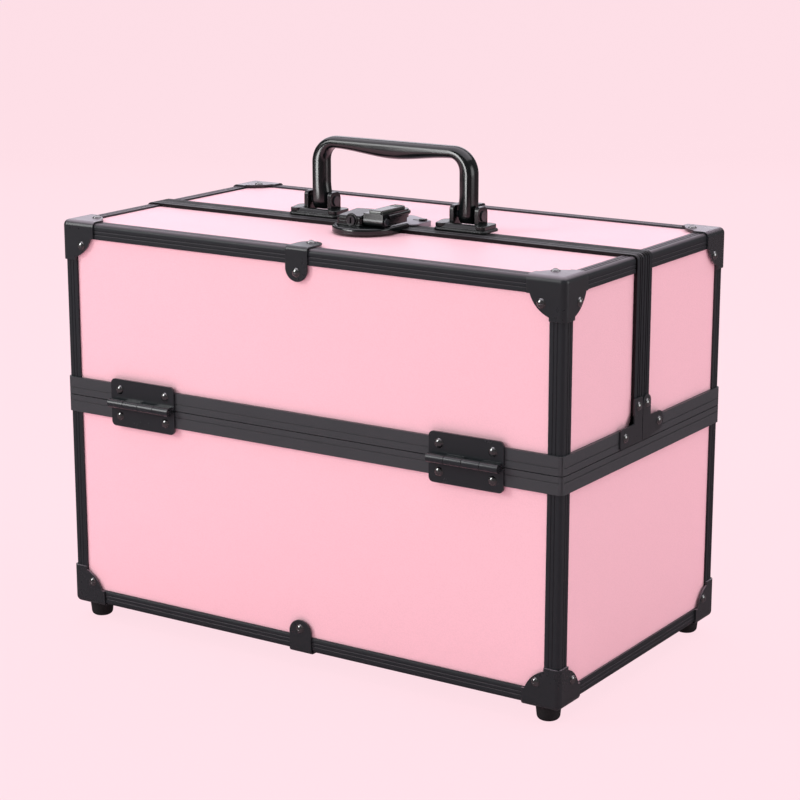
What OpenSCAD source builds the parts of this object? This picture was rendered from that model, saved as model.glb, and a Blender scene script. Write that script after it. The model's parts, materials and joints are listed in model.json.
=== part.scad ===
// Make-up train case: a box with two lids hinged low on its long faces, a folding
// handle and a latch on top, and four trays on swinging arms inside.
// Millimetres. +X is the width, -Y the front and +Z up. The origin is the middle of
// the footprint, at the level the feet stand on.

/* [Case] */
// Width over the edge rails
case_w = 360; // [300:1:440]
// Depth over the edge rails
case_d = 200; // [190:1:240]
// Height of the box without its feet
case_h = 250; // [246:1:300]
// Height of the split between the base and the lids, above the bottom of the box
split_h = 138.5; // [110:0.5:142]
// Where the two lids meet, from the middle of the depth
seam_y = -7.5; // [-9:0.5:6]
// Dark gap between the base and the lids
split_gap = 0.5; // [0.3:0.1:1]
// Dark gap between the two lids
seam_gap = 0.6; // [0.4:0.1:1.2]

/* [Walls] */
// Thickness of a wall panel
panel_t = 4; // [3:0.5:6]
// Thickness of the lining sheet
lining_t = 0.8; // [0.5:0.1:1.2]
// Clearance of a panel in its slot
panel_fit = 0.1; // [0.05:0.05:0.3]

/* [Edge rails] */
// Width of a rail on each of its two faces
rail_w = 9.5; // [8:0.5:14]
// Thickness of the lip that lies over a panel
rail_lip = 1.2; // [0.8:0.1:2]
// Outside corner radius
rail_r = 2.5; // [1:0.5:3.5]
// Depth of the fine grooves along a rail
groove_d = 0.35; // [0.2:0.05:0.6]
// Width of those grooves
groove_w = 0.7; // [0.4:0.1:1.2]

/* [Closing frames] */
// How far the frames stand proud of the rails
rim_proud = 1; // [0.6:0.1:2]
// Height of the base frame
base_rim_h = 11; // [8:0.5:16]
// Height of the lower frame of a lid
lid_rim_h = 11.5; // [8:0.5:16]
// Width of the frame along the seam of a lid
seam_rim_w = 9; // [8:0.5:16]
// Depth of the solid web that closes the end of a panel
rim_web = 6; // [4:0.5:8]
// Height of the tongue that guides the lids home
tongue_h = 2.6; // [1.5:0.1:3.5]
// Thickness of the tongue
tongue_t = 1.4; // [1:0.1:1.6]
// Width of a mitred joint between two bars
mitre_gap = 0.2; // [0.1:0.05:0.4]

/* [Corner caps, clips and brackets] */
// Thickness of the stamped plates
plate_t = 1.2; // [0.8:0.1:2]
// Reach of a corner cap along an edge
cap_reach = 24; // [20:0.5:32]
// Radius of the rounded lobe of a corner cap
cap_lobe_r = 20; // [17:0.5:26]
// Distance of a cap rivet from both edges
cap_rivet_in = 14.5; // [12:0.5:18]
// Width of an edge clip
clip_w = 16; // [12:0.5:24]
// Reach of an edge clip on each face
clip_reach = 20; // [17:0.5:30]
// Reach of a seam bracket along each frame
bracket_reach = 27; // [22:0.5:36]
// Width of the foot of a seam bracket
bracket_w = 12; // [10:0.5:14]
// Width of its leg along the seam
strap_w = 10; // [8:0.5:14]
// Diameter of a rivet head
rivet_d = 5; // [4:0.25:6.5]
// Diameter of a rivet shank
rivet_shank_d = 2.4; // [1.8:0.1:3.2]

/* [Feet] */
// Height of the box above the floor
foot_h = 11; // [8:0.5:16]
// Largest diameter of a foot
foot_d = 15.5; // [13:0.5:18]
// Distance of a foot from the side of the case
foot_in_x = 12; // [10:0.5:18]
// Distance of a foot from the front or rear of the case
foot_in_y = 10.5; // [9:0.5:18]

/* [Hinges] */
// Distance of each hinge from the middle of the case
hinge_x = 118.5; // [90:0.5:124]
// Width of a leaf
leaf_w = 50; // [40:1:60]
// Height of a leaf from the split
leaf_h = 15.2; // [13:0.2:20]
// Thickness of a leaf
leaf_t = 1.5; // [1:0.1:2]
// Diameter of a knuckle
knuckle_d = 5.6; // [5:0.1:6.4]
// Diameter of the hinge pin
hinge_pin_d = 2.8; // [2:0.1:3.2]
// Gap between two knuckles
knuckle_gap = 0.3; // [0.2:0.05:0.6]
// Distance of the rivets from the middle of a hinge
leaf_rivet_x = 18; // [14:0.5:20]
// Distance of the rivets from the split
leaf_rivet_h = 8.5; // [6:0.5:9]

/* [Handle] */
// Distance between the middles of the two legs
handle_pitch = 109; // [90:1:130]
// Height of the top of the handle above the lid
handle_h = 51.5; // [46:0.5:70]
// Width of the handle, across the lids
handle_t = 11.5; // [9:0.5:12.5]
// Width of a leg
leg_w = 10; // [8:0.5:11]
// Thickness of the grip where it leaves the bends
grip_t = 6.6; // [6:0.2:8]
// How much the grip swells underneath in the middle
grip_swell = 3.8; // [0:0.2:6]
// Outside radius of the bends
bend_r = 17; // [14:0.5:22]
// Height of the pivot above the lid
pivot_t = 10; // [9:0.5:12]
// Distance of the handle from the middle of the width
handle_x = -2; // [-10:0.5:10]
// Distance of a handle bracket from the seam
mount_q = 4.2; // [2:0.1:6]
// Diameter of the pivot pins
handle_pin_d = 4; // [3:0.2:5]
// Width of a handle bracket
mount_w = 39; // [34:0.5:46]
// Depth of a handle bracket
mount_d = 19.5; // [18:0.5:24]
// Thickness of an ear of a bracket
ear_t = 3.4; // [3:0.2:5]

/* [Latch] */
// Distance of the latch from the middle of the width
latch_x = -1.5; // [-20:0.5:20]
// Width of the latch plate
latch_w = 41; // [38:0.5:46]
// Length of the latch plate, from the seam to its round end
latch_d = 38.5; // [36:0.5:46]
// Height of the latch plate above the seam frame
latch_t = 3; // [2:0.1:3.2]
// Distance of the lock case from the middle of the plate, on its left
lock_out = 15; // [13:0.5:16]
// Width of the lock case
lock_w = 19.5; // [17:0.5:20]
// Length of the lock case
lock_d = 27.5; // [24:0.5:28]
// Height of the lock case above the lid
lock_h = 12; // [11.5:0.5:13]
// Bevel along the upper edges of the lock case
lock_bevel = 1.4; // [0.5:0.1:2]
// Diameter of the key barrel
barrel_d = 5.8; // [5:0.2:6]
// Width of the lever
lever_w = 14; // [12:0.5:14.5]
// Height of the top of the lever above the lid
lever_h = 12.4; // [12:0.2:14]
// Height of the raised panel on the lever
lever_panel_t = 1.6; // [0.8:0.2:2.4]
// Thickness of the walls of the lever
lever_t = 1.8; // [1.4:0.2:2.4]
// Radius of the corners of the lever at the seam
lever_r = 6; // [4:0.5:6.5]
// Diameter of the barrel that the lever turns on
lever_barrel_d = 6.4; // [6:0.1:6.6]
// Diameter of the lever pin
lever_pin_d = 3; // [2:0.2:4]
// Diameter of the bead around the lever
bead_d = 2.6; // [1.6:0.1:3]
// How far the lever reaches past the edge of its lid
lever_over = 5.8; // [2:0.2:6]
// Length of the strike plate, from the seam to its point
strike_d = 34.5; // [28:0.5:38]
// Thickness of the strike plate above the seam frame
strike_t = 1.2; // [0.8:0.1:1.4]

/* [Trays and arms] */
// Distance of the ends of a tray from the outside of the case
tray_end_in = 12.4; // [12.2:0.2:20]
// Distance of a tray from the front or rear of the case
tray_in = 16; // [15.5:0.5:18]
// Distance between the front and the rear trays
tray_mid_gap = 16; // [14:0.5:40]
// Height of the lower tray above the split
tray_up = 14.5; // [14:0.5:18]
// Gap between the lower and the upper tray
tray_gap = 7.1; // [6:0.1:12]
// Space above the upper tray
tray_air = 11.9; // [11:0.1:20]
// Wall of a tray
tray_wall = 1.8; // [1.4:0.1:2.4]
// Floor of a tray
tray_floor = 2; // [1.4:0.1:3]
// Corner radius of a tray
tray_r = 6; // [3:0.5:10]
// Number of compartments in a tray
tray_cells = 3; // [1:1:5]
// Height of its pivots above the bottom of a tray
tray_pivot_h = 20.2; // [19:0.1:21]
// Distance of the outer arm pivot from the outside of the case
arm_in = 18; // [16:0.5:20]
// Height of the arm pivots above the split
arm_up = 1.5; // [1:0.5:4]
// Distance between the outer and the inner arm
arm_pitch = 18; // [14:0.5:19]
// Lean of the arms towards the middle with the lids shut
arm_lean = 34; // [32:0.5:36]
// Width of an arm
arm_w = 9; // [7:0.5:10]
// Thickness of an arm
arm_t = 2; // [1.5:0.1:2.4]
// Diameter of the arm pins
arm_pin_d = 4; // [3:0.2:5]
// Thickness of the plates that carry the arms
arm_plate_t = 1.5; // [1:0.1:1.8]
// How far those plates reach below the base frame
arm_plate_drop = 14; // [8:0.5:30]

/* [Hidden] */

$fn = 48;
FRONT = 1;
REAR = -1;
run_fit = 0.05;     // radial clearance of a turning pin
air = 0.3;          // clearance between pieces that move past each other
over = 1;           // how far a cutting shape passes the surface it cuts

z_split = foot_h + split_h;
lid_h = case_h - split_h;
rail_seat = rail_lip + panel_t;
wall_n = rail_seat + lining_t;
lid_from = split_gap / 2;
rivet_h = 1.6;
half_w = case_w / 2;

// Depth of a lid, from the outside of the case to its seam face
function lid_depth(s) = case_d / 2 + s * seam_y - seam_gap / 2;

// Places children drawn in a side frame: x along the case, y inward from its long face
// and z up from the split. FRONT keeps the near side, REAR mirrors it to the far one.
module side(s) {
    mirror([0, s == FRONT ? 0 : 1, 0])
        translate([0, -case_d / 2, z_split])
            children();
}

// Both long sides of the case
module both_sides() {
    side(FRONT) children();
    side(REAR) children();
}

// Children and their mirror image at the other end of the case
module both_ends() {
    children();
    mirror([1, 0, 0]) children();
}

// A profile drawn in y and z, run along x
module run_x(from, to) {
    translate([from, 0, 0])
        rotate([90, 0, 90])
            linear_extrude(to - from)
                children();
}

// A profile drawn in x and z, run along y
module run_y(from, to) {
    translate([0, to, 0])
        rotate([90, 0, 0])
            linear_extrude(to - from)
                children();
}

// A profile drawn in x and y, run along z
module run_z(from, to) {
    translate([0, 0, from])
        linear_extrude(to - from)
            children();
}

// What is cut off a square corner at the origin to round it
module corner_cut(r) {
    difference() {
        translate([-over, -over]) square(r + over);
        translate([r, r]) circle(r);
    }
}

// Two fine grooves along a face that runs in +x from the origin
module face_grooves(w) {
    for (k = [0.42, 0.66])
        translate([k * w, -over]) square([groove_w, groove_d + over]);
}

// ---------------------------------------------------------------- edge rails

// Corner extrusion: a rounded outer corner at the origin, two lips and a solid seat
module rail_profile() {
    difference() {
        union() {
            square([rail_w, rail_lip]);
            square([rail_lip, rail_w]);
            square(rail_seat);
        }
        corner_cut(rail_r);
        face_grooves(rail_w);
        mirror([1, -1]) face_grooves(rail_w);
    }
}

// Rail across the case, on the edge at height h; up is the way its panel lies
module rail_across(h, up) {
    translate([0, 0, h])
        mirror([0, 0, up ? 0 : 1])
            run_x(-half_w + rail_w, half_w - rail_w)
                rail_profile();
}

// Rail along an end of the case, between two depths
module rail_along(h, up, from, to) {
    translate([-half_w, 0, h])
        mirror([0, 0, up ? 0 : 1])
            run_y(from, to)
                rail_profile();
}

// Upright rail on a corner of the case
module rail_post(from, to) {
    translate([-half_w, 0, 0])
        run_z(from, to)
            rail_profile();
}

module base_edge_rails() {
    color("#3c3c40") {
        both_sides() {
            rail_across(-split_h, true);
            both_ends() rail_post(-split_h + rail_w, -base_rim_h);
        }
        side(FRONT)
            both_ends() rail_along(-split_h, true, rail_w, case_d - rail_w);
    }
}

module lid_edge_rails(s) {
    side(s) {
        rail_across(lid_h, false);
        both_ends() {
            rail_post(lid_rim_h, lid_h - rail_w);
            rail_along(lid_h, false, rail_w, lid_depth(s) - seam_rim_w);
        }
    }
}

module front_lid_edge_rails() {
    color("#3c3c40") lid_edge_rails(FRONT);
}

module rear_lid_edge_rails() {
    color("#3c3c40") lid_edge_rails(REAR);
}

// ---------------------------------------------------------------- panels and lining

// Box between two distances from the end faces, in a side frame
module between_ends(inset, from, to) {
    translate([-half_w + inset, from[0], from[1]])
        cube([case_w - 2 * inset, to[0] - from[0], to[1] - from[1]]);
}

module base_front_rear_panels() {
    color("#fcc8d6")
        both_sides()
            between_ends(rail_seat + panel_fit, [rail_lip, rail_seat + panel_fit - split_h],
                [rail_seat, -rim_web - panel_fit]);
}

module base_end_panels() {
    inset = rail_seat + panel_fit;
    color("#f4c0ce")
        side(FRONT)
            both_ends()
                translate([-half_w + rail_lip, inset, inset - split_h])
                    cube([panel_t, case_d - 2 * inset, split_h - inset - rim_web - panel_fit]);
}

module base_floor_panel() {
    inset = rail_seat + panel_fit;
    color("#3a3a3e")
        side(FRONT)
            between_ends(inset, [inset, rail_lip - split_h],
                [case_d - inset, rail_seat - split_h]);
}

// The long wall, the two end walls and the top of one lid
module lid_panels(s) {
    inset = rail_seat + panel_fit;
    low = rim_web + panel_fit;
    back = lid_depth(s) - rim_web - panel_fit;
    side(s) {
        between_ends(inset, [rail_lip, low], [rail_seat, lid_h - inset]);
        between_ends(inset, [inset, lid_h - rail_seat], [back, lid_h - rail_lip]);
        both_ends()
            translate([-half_w + rail_lip, inset, low])
                cube([panel_t, back - inset, lid_h - inset - low]);
    }
}

module front_lid_panels() {
    color("#fcc8d6") lid_panels(FRONT);
}

module rear_lid_panels() {
    color("#fcc8d6") lid_panels(REAR);
}

// Lining of the base: one open tub of sheet against the walls and the floor
module base_lining() {
    outer = rail_seat + 0.02;
    floor_h = rail_seat - split_h;
    top = -base_rim_h - panel_fit;
    color("#3d3338")
        side(FRONT)
            difference() {
                between_ends(outer, [outer, floor_h + 0.02], [case_d - outer, top]);
                between_ends(wall_n, [wall_n, floor_h + lining_t], [case_d - wall_n, top + over]);
            }
}

// Lining of a lid: a sheet tub that is open below and at the seam
module lid_lining(s) {
    outer = rail_seat + 0.02;
    low = lid_from + tongue_h + 2;
    back = lid_depth(s) - rim_web - panel_fit;
    side(s)
        difference() {
            between_ends(outer, [outer, low], [back, lid_h - outer]);
            between_ends(wall_n, [wall_n, low - over], [back + over, lid_h - wall_n]);
        }
}

module front_lid_lining() {
    color("#3d3338") lid_lining(FRONT);
}

module rear_lid_lining() {
    color("#3d3338") lid_lining(REAR);
}

// ---------------------------------------------------------------- closing frames

// Diagonal saw cut through a corner at the origin, seen along the run of the corner
module mitre_cut() {
    rotate(45)
        translate([-2 * rail_w, -mitre_gap / 2])
            square([6 * rail_w, mitre_gap]);
}

// Outline of the base frame between two depths from the outside of the case
module base_ring(out, in) {
    difference() {
        translate([-half_w + out, out])
            square([case_w - 2 * out, case_d - 2 * out]);
        translate([-half_w + in, in])
            square([case_w - 2 * in, case_d - 2 * in]);
        for (mx = [0, 1], my = [0, 1])
            mirror([mx, 0])
                translate([-half_w, my * case_d])
                    mirror([0, my]) {
                        translate([out, out]) corner_cut(rail_r + rim_proud);
                        mitre_cut();
                    }
    }
}

// Outline of a three-sided frame, open at the depth that it ends at
module open_ring(out, in, depth) {
    difference() {
        translate([-half_w + out, out])
            square([case_w - 2 * out, depth - out]);
        translate([-half_w + in, in])
            square([case_w - 2 * in, depth]);
        for (mx = [0, 1])
            mirror([mx, 0])
                translate([-half_w, 0]) {
                    translate([out, out]) corner_cut(rail_r + rim_proud);
                    mitre_cut();
                }
    }
}

// Base frame: an outer flange over the panels, a web on their ends, an inner flange
// over the lining and the tongue
module base_rim() {
    color("#38383c")
        side(FRONT) {
            difference() {
                run_z(-base_rim_h, -lid_from) base_ring(-rim_proud, rail_lip);
                rim_groove(-0.38 * base_rim_h);
            }
            run_z(-rim_web, -lid_from) base_ring(rail_lip, rail_seat);
            run_z(-base_rim_h, -lid_from) base_ring(rail_seat, rail_seat + tongue_t);
            run_z(-lid_from, tongue_h) base_ring(rail_seat + air, rail_seat + tongue_t);
        }
}

// Fine groove all round a frame at one height
module rim_groove(h) {
    run_z(h, h + groove_w)
        difference() {
            translate([-half_w - 2 * rim_proud, -2 * rim_proud])
                square([case_w + 4 * rim_proud, case_d + 4 * rim_proud]);
            translate([-half_w - rim_proud + groove_d, -rim_proud + groove_d])
                square([case_w + 2 * (rim_proud - groove_d), case_d + 2 * (rim_proud - groove_d)]);
        }
}

// Lower frame of a lid, on its long side and both ends
module lid_rim(s) {
    side(s) {
        difference() {
            run_z(lid_from, lid_rim_h) open_ring(-rim_proud, rail_lip, lid_depth(s));
            rim_groove(0.38 * lid_rim_h);
        }
        run_z(lid_from, rim_web) open_ring(rail_lip, rail_seat, lid_depth(s));
    }
}

module front_lid_rim() {
    color("#38383c") lid_rim(FRONT);
}

module rear_lid_rim() {
    color("#38383c") lid_rim(REAR);
}

// Arch over the top and down both ends of a lid, between two depths into the lid
module seam_arch(out, in) {
    translate([0, lid_h])
        mirror([0, 1])
            open_ring(out, in, lid_h - lid_rim_h);
}

// Frame along the seam of a lid
module lid_seam_rim(s) {
    edge = lid_depth(s);
    grooves = [0.36, 0.6];
    side(s) {
        difference() {
            run_y(edge - seam_rim_w, edge) seam_arch(-rim_proud, rail_lip);
            for (k = grooves)
                run_y(edge - k * seam_rim_w, edge - k * seam_rim_w + groove_w)
                    difference() {
                        seam_arch(-2 * rim_proud, rail_lip);
                        seam_arch(groove_d - rim_proud, 2 * rail_lip);
                    }
        }
        run_y(edge - rim_web, edge) seam_arch(rail_lip, rail_seat);
    }
}

module front_lid_seam_rim() {
    color("#38383c") lid_seam_rim(FRONT);
}

module rear_lid_seam_rim() {
    color("#38383c") lid_seam_rim(REAR);
}

// ---------------------------------------------------------------- rivets

// Domed head standing on z = 0, with a shank down to the given depth
module rivet(depth) {
    dome_r = (pow(rivet_d / 2, 2) + pow(rivet_h, 2)) / (2 * rivet_h);
    intersection() {
        translate([0, 0, rivet_h - dome_r]) sphere(dome_r);
        cylinder(d = rivet_d, h = rivet_h);
    }
    translate([0, 0, -depth]) cylinder(d = rivet_shank_d, h = depth);
}

module rivet_hole() {
    translate([0, 0, -plate_t - leaf_t - rail_lip])
        cylinder(d = rivet_shank_d + 0.02, h = plate_t + leaf_t + rail_lip + over);
}

// Children drawn standing on z = 0 are set on the outside of a plate of the given
// thickness, at x and z on a long face
module on_long_face(x, z, out) {
    translate([x, -out, z]) rotate([90, 0, 0]) children();
}

// The same on the left end face, at y and z
module on_end_face(y, z, out) {
    translate([-half_w - out, y, z]) rotate([0, -90, 0]) children();
}

// ---------------------------------------------------------------- corner caps

// Places children drawn inward from a corner of the case: its left end, at the split
// frame's height h, with +z towards the middle of the wall
module corner(h, up) {
    translate([-half_w, 0, h])
        mirror([0, 0, up ? 0 : 1])
            children();
}

// Outline of a cap on one face, with its corner at the origin
module cap_outline() {
    intersection() {
        translate([-plate_t, -plate_t]) square(cap_reach + plate_t);
        union() {
            translate([-plate_t, -plate_t]) square([cap_reach + plate_t, rail_w + plate_t]);
            translate([-plate_t, -plate_t]) square([rail_w + plate_t, cap_reach + plate_t]);
            translate([3, 3]) circle(cap_lobe_r);
        }
    }
}

// Children drawn on the corner's floor, repeated on its two walls
module three_ways() {
    for (turn = [[0, 0, 0], [-90, -90, 0], [90, 0, 90]])
        rotate(turn) children();
}

// Outside of a cap: a corner with a ball at its point and round edges
module cap_body() {
    r = rail_r + plate_t;
    far = cap_reach + over;
    translate([rail_r, rail_r, rail_r]) {
        sphere(r);
        three_ways() {
            cylinder(r = r, h = far);
            translate([0, 0, -r]) cube([far, far, far + r]);
        }
    }
}

// Stamped cap over a corner, with the key that joins the three rails behind it
module corner_cap() {
    intersection() {
        cap_body();
        three_ways() {
            run_z(-plate_t, 0) cap_outline();
            cube([rail_w, rail_w, rail_lip]);
            cube([rail_seat, rail_seat, rail_w]);
        }
    }
}

// Where the rivets of a cap go: on its long face and on its end face
module cap_rivets_at() {
    translate([cap_rivet_in, -plate_t, cap_rivet_in]) rotate([90, 0, 0]) children();
    translate([-plate_t, cap_rivet_in, cap_rivet_in]) rotate([0, -90, 0]) children();
}

// The third rivet of a lid cap, on the top of the case
module cap_top_rivet_at() {
    translate([cap_rivet_in, cap_rivet_in, -plate_t]) rotate([180, 0, 0]) children();
}

module base_corner_caps() {
    color("#404044")
        both_sides()
            both_ends()
                corner(-split_h, true)
                    difference() {
                        corner_cap();
                        cap_rivets_at() rivet_hole();
                    }
}

module lid_corner_caps(s) {
    side(s)
        both_ends()
            corner(lid_h, false)
                difference() {
                    corner_cap();
                    cap_rivets_at() rivet_hole();
                    cap_top_rivet_at() rivet_hole();
                }
}

module front_lid_corner_caps() {
    color("#404044") lid_corner_caps(FRONT);
}

module rear_lid_corner_caps() {
    color("#404044") lid_corner_caps(REAR);
}

// ---------------------------------------------------------------- edge clips

clip_rivet_in = 14.4;

// Tongue with a round end, from the edge down one face
module clip_outline() {
    translate([-clip_w / 2, -plate_t])
        square([clip_w, clip_reach + plate_t - clip_w / 2]);
    translate([0, clip_reach - clip_w / 2]) circle(d = clip_w);
}

// Clip bent over an edge at the origin, with +z towards the middle of the wall
module edge_clip() {
    difference() {
        intersection() {
            run_x(-clip_w, clip_w)
                difference() {
                    translate([-plate_t, -plate_t]) square(clip_reach + 2 * plate_t);
                    square(clip_reach + 2 * plate_t);
                    translate([-plate_t, -plate_t]) corner_cut(rail_r);
                }
            union() {
                run_y(-plate_t - over, 0) clip_outline();
                run_z(-plate_t - over, 0) clip_outline();
            }
        }
        clip_rivets_at() rivet_hole();
    }
}

module clip_rivets_at() {
    translate([0, -plate_t, clip_rivet_in]) rotate([90, 0, 0]) children();
    translate([0, clip_rivet_in, -plate_t]) rotate([180, 0, 0]) children();
}

module base_edge_clips() {
    color("#404044")
        both_sides()
            translate([0, 0, -split_h]) edge_clip();
}

module lid_edge_clip(s) {
    side(s)
        translate([0, 0, lid_h])
            mirror([0, 0, 1]) edge_clip();
}

module front_lid_edge_clip() {
    color("#404044") lid_edge_clip(FRONT);
}

module rear_lid_edge_clip() {
    color("#404044") lid_edge_clip(REAR);
}

// ---------------------------------------------------------------- seam brackets

bracket_low = 0.5;
bracket_end_in = 5.2;   // distance of a rivet from the end of a leg
bracket_corner = 1.5;
lobe_r = bracket_w / 2;
lobe_up = 0.65 * bracket_w;

// Centre of the rivet in the leg that lies along the lower frame
function bracket_foot(s) = [lid_depth(s) - bracket_reach + lobe_r,
    lid_from + bracket_low + (s == FRONT ? lobe_r : lobe_up)];

// Leg of a bracket that runs up the seam
module bracket_strap(edge, low, round_r) {
    difference() {
        translate([edge - strap_w, low]) square([strap_w, bracket_reach]);
        translate([edge - strap_w, low + bracket_reach]) mirror([0, 1]) corner_cut(round_r);
        translate([edge, low + bracket_reach])
            mirror([1, 0]) mirror([0, 1]) corner_cut(round_r);
    }
}

// Plate on the end of a lid where its two frames meet. The front pair has a square
// foot, the rear pair a round lobe joined to the strap by a slanted web.
module seam_bracket(s) {
    edge = lid_depth(s);
    low = lid_from + bracket_low;
    foot = bracket_foot(s);
    translate([-half_w - rim_proud, 0, 0])
        rotate([90, 0, 90])
            mirror([0, 0, 1])
                linear_extrude(plate_t) {
                    bracket_strap(edge, low, s == FRONT ? bracket_corner : strap_w / 2 - 0.1);
                    if (s == FRONT)
                        difference() {
                            translate([edge - bracket_reach, low]) square([bracket_reach, bracket_w]);
                            translate([edge - bracket_reach, low + bracket_w])
                                mirror([0, 1]) corner_cut(bracket_corner);
                            translate([edge - bracket_reach, low]) corner_cut(bracket_corner);
                        }
                    if (s == REAR) {
                        translate(foot) circle(lobe_r);
                        polygon([[edge - 0.1, low], [foot[0] - 1, foot[1] - lobe_r + 0.2],
                            [foot[0], foot[1] + lobe_r - 0.05],
                            [edge - strap_w + 0.1, foot[1] + lobe_r], [edge - 0.1, foot[1]]]);
                    }
                }
}

module bracket_rivets_at(s) {
    on_end_face(lid_depth(s) - strap_w / 2, lid_from + bracket_low + bracket_reach - bracket_end_in,
        rim_proud + plate_t) children();
    on_end_face(bracket_foot(s)[0], bracket_foot(s)[1], rim_proud + plate_t) children();
}

module lid_seam_brackets(s) {
    side(s)
        both_ends()
            difference() {
                seam_bracket(s);
                bracket_rivets_at(s) rivet_hole();
            }
}

module front_lid_seam_brackets() {
    color("#434347") lid_seam_brackets(FRONT);
}

module rear_lid_seam_brackets() {
    color("#434347") lid_seam_brackets(REAR);
}

// ---------------------------------------------------------------- hinges

knuckle_air = 0.2;
hinge_out = rim_proud + leaf_t + knuckle_air + knuckle_d / 2;
knuckle_count = 4;
knuckle_w = (leaf_w - 2) / knuckle_count;

// One leaf of a hinge: a plate above the split with its share of the knuckles
module hinge_leaf(first) {
    low = lid_from + 0.15;
    difference() {
        union() {
            translate([-leaf_w / 2, 0, 0])
                run_x(0, leaf_w)
                    translate([-rim_proud - leaf_t, low]) square([leaf_t, leaf_h - low]);
            for (k = [first : 2 : knuckle_count - 1])
                translate([-leaf_w / 2 + 1 + k * knuckle_w + knuckle_gap / 2, 0, 0])
                    run_x(0, knuckle_w - knuckle_gap) {
                        translate([-hinge_out, 0]) circle(d = knuckle_d);
                        translate([-hinge_out, 0])
                            square([hinge_out - rim_proud - leaf_t, knuckle_d / 2]);
                    }
        }
        rotate([0, 90, 0])
            translate([0, -hinge_out, -leaf_w])
                cylinder(d = hinge_pin_d + 2 * run_fit, h = 2 * leaf_w);
        for (sx = [-1, 1])
            translate([sx * leaf_w / 2, -rim_proud - leaf_t - over, leaf_h])
                rotate([-90, 0, 0])
                    linear_extrude(leaf_t + 2 * over)
                        mirror([sx > 0 ? 1 : 0, 0]) corner_cut(3);
        leaf_rivets_at() rivet_hole();
    }
}

module leaf_rivets_at() {
    for (sx = [-1, 1])
        on_long_face(sx * leaf_rivet_x, leaf_rivet_h, rim_proud + leaf_t) children();
}

module hinges_at() {
    for (sx = [-1, 1])
        translate([sx * hinge_x, 0, 0]) children();
}

module base_hinge_leaves() {
    color("#3a3a3e")
        both_sides()
            hinges_at()
                mirror([0, 0, 1]) hinge_leaf(0);
}

module front_lid_hinge_leaves() {
    color("#3a3a3e") side(FRONT) hinges_at() hinge_leaf(1);
}

module rear_lid_hinge_leaves() {
    color("#3a3a3e") side(REAR) hinges_at() hinge_leaf(1);
}

module hinge_pins() {
    color("#55555a")
        both_sides()
            hinges_at()
                translate([-leaf_w / 2 + 1, -hinge_out, 0])
                    rotate([0, 90, 0])
                        cylinder(d = hinge_pin_d, h = leaf_w - 2);
}

// ---------------------------------------------------------------- rivet groups

module base_rivets() {
    color("#2b2b2e")
        both_sides() {
            both_ends()
                corner(-split_h, true) cap_rivets_at() rivet(plate_t + rail_lip);
            translate([0, 0, -split_h]) clip_rivets_at() rivet(plate_t + rail_lip);
            hinges_at() mirror([0, 0, 1]) leaf_rivets_at() rivet(leaf_t);
        }
}

module lid_rivets(s) {
    side(s) {
        both_ends() {
            corner(lid_h, false) cap_rivets_at() rivet(plate_t + rail_lip);
            corner(lid_h, false) cap_top_rivet_at() rivet(plate_t + rail_lip);
            bracket_rivets_at(s) rivet(plate_t);
        }
        translate([0, 0, lid_h]) mirror([0, 0, 1]) clip_rivets_at() rivet(plate_t + rail_lip);
        hinges_at() leaf_rivets_at() rivet(leaf_t);
    }
}

module front_lid_rivets() {
    color("#2b2b2e") lid_rivets(FRONT);
}

module rear_lid_rivets() {
    color("#2b2b2e") lid_rivets(REAR);
}

// ---------------------------------------------------------------- feet

screw_d = 5;
screw_head_h = 2.2;
screw_recess = 3.5;
foot_screw_d = 3.2;
foot_taper = 0.8;

module feet_at() {
    both_sides()
        both_ends()
            translate([-half_w + foot_in_x, foot_in_y, -z_split]) children();
}

module feet() {
    top = foot_h - plate_t;
    edge_r = 3;
    flat_r = foot_d / 2 - foot_taper - edge_r;
    color("#1e1e20")
        feet_at()
            difference() {
                rotate_extrude() {
                    polygon([[0, 0], [flat_r, 0], [flat_r + edge_r, edge_r],
                        [foot_d / 2, top], [0, top]]);
                    translate([flat_r, edge_r])
                        intersection() {
                            circle(edge_r);
                            translate([0, -edge_r]) square(edge_r);
                        }
                }
                translate([0, 0, -over]) cylinder(d = screw_d + 0.5, h = screw_recess + over);
                cylinder(d = foot_screw_d + 0.1, h = foot_h);
            }
}

// Pan-head screws sunk in the feet
module foot_screws() {
    color("#8a8a8e")
        feet_at()
            difference() {
                union() {
                    translate([0, 0, screw_recess - screw_head_h])
                        cylinder(d = screw_d, h = screw_head_h);
                    translate([0, 0, screw_recess])
                        cylinder(d = foot_screw_d, h = foot_h - plate_t - screw_recess);
                }
                for (turn = [0, 90])
                    rotate(turn)
                        translate([-1.6, -0.4, 0]) cube([3.2, 0.8, screw_recess - screw_head_h + 1]);
            }
}

// ---------------------------------------------------------------- handle

pivot_half = handle_pitch / 2;
eye_r = handle_t / 2;
ear_air = 1.3;
eye_w = 11.4;
ear_gap = eye_w + 2 * ear_air;
pivot_q = mount_q + mount_d / 2;
skirt = rail_lip;

// Places children drawn on top of a lid: x along the seam, y back from it into the lid
// and z up from the outside of the case
module on_lid_top(s) {
    side(s)
        translate([0, lid_depth(s), lid_h])
            mirror([0, 1, 0])
                children();
}

// Runs a 2D foot print down onto the top of the lid: over the seam frame it stands on
// that frame, behind it on the panel
module seated(top) {
    run_z(rim_proud, top) children();
    run_z(-skirt, rim_proud + 0.01)
        intersection() {
            children();
            translate([-half_w, seam_rim_w + 0.1]) square([case_w, case_d]);
        }
}

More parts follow.
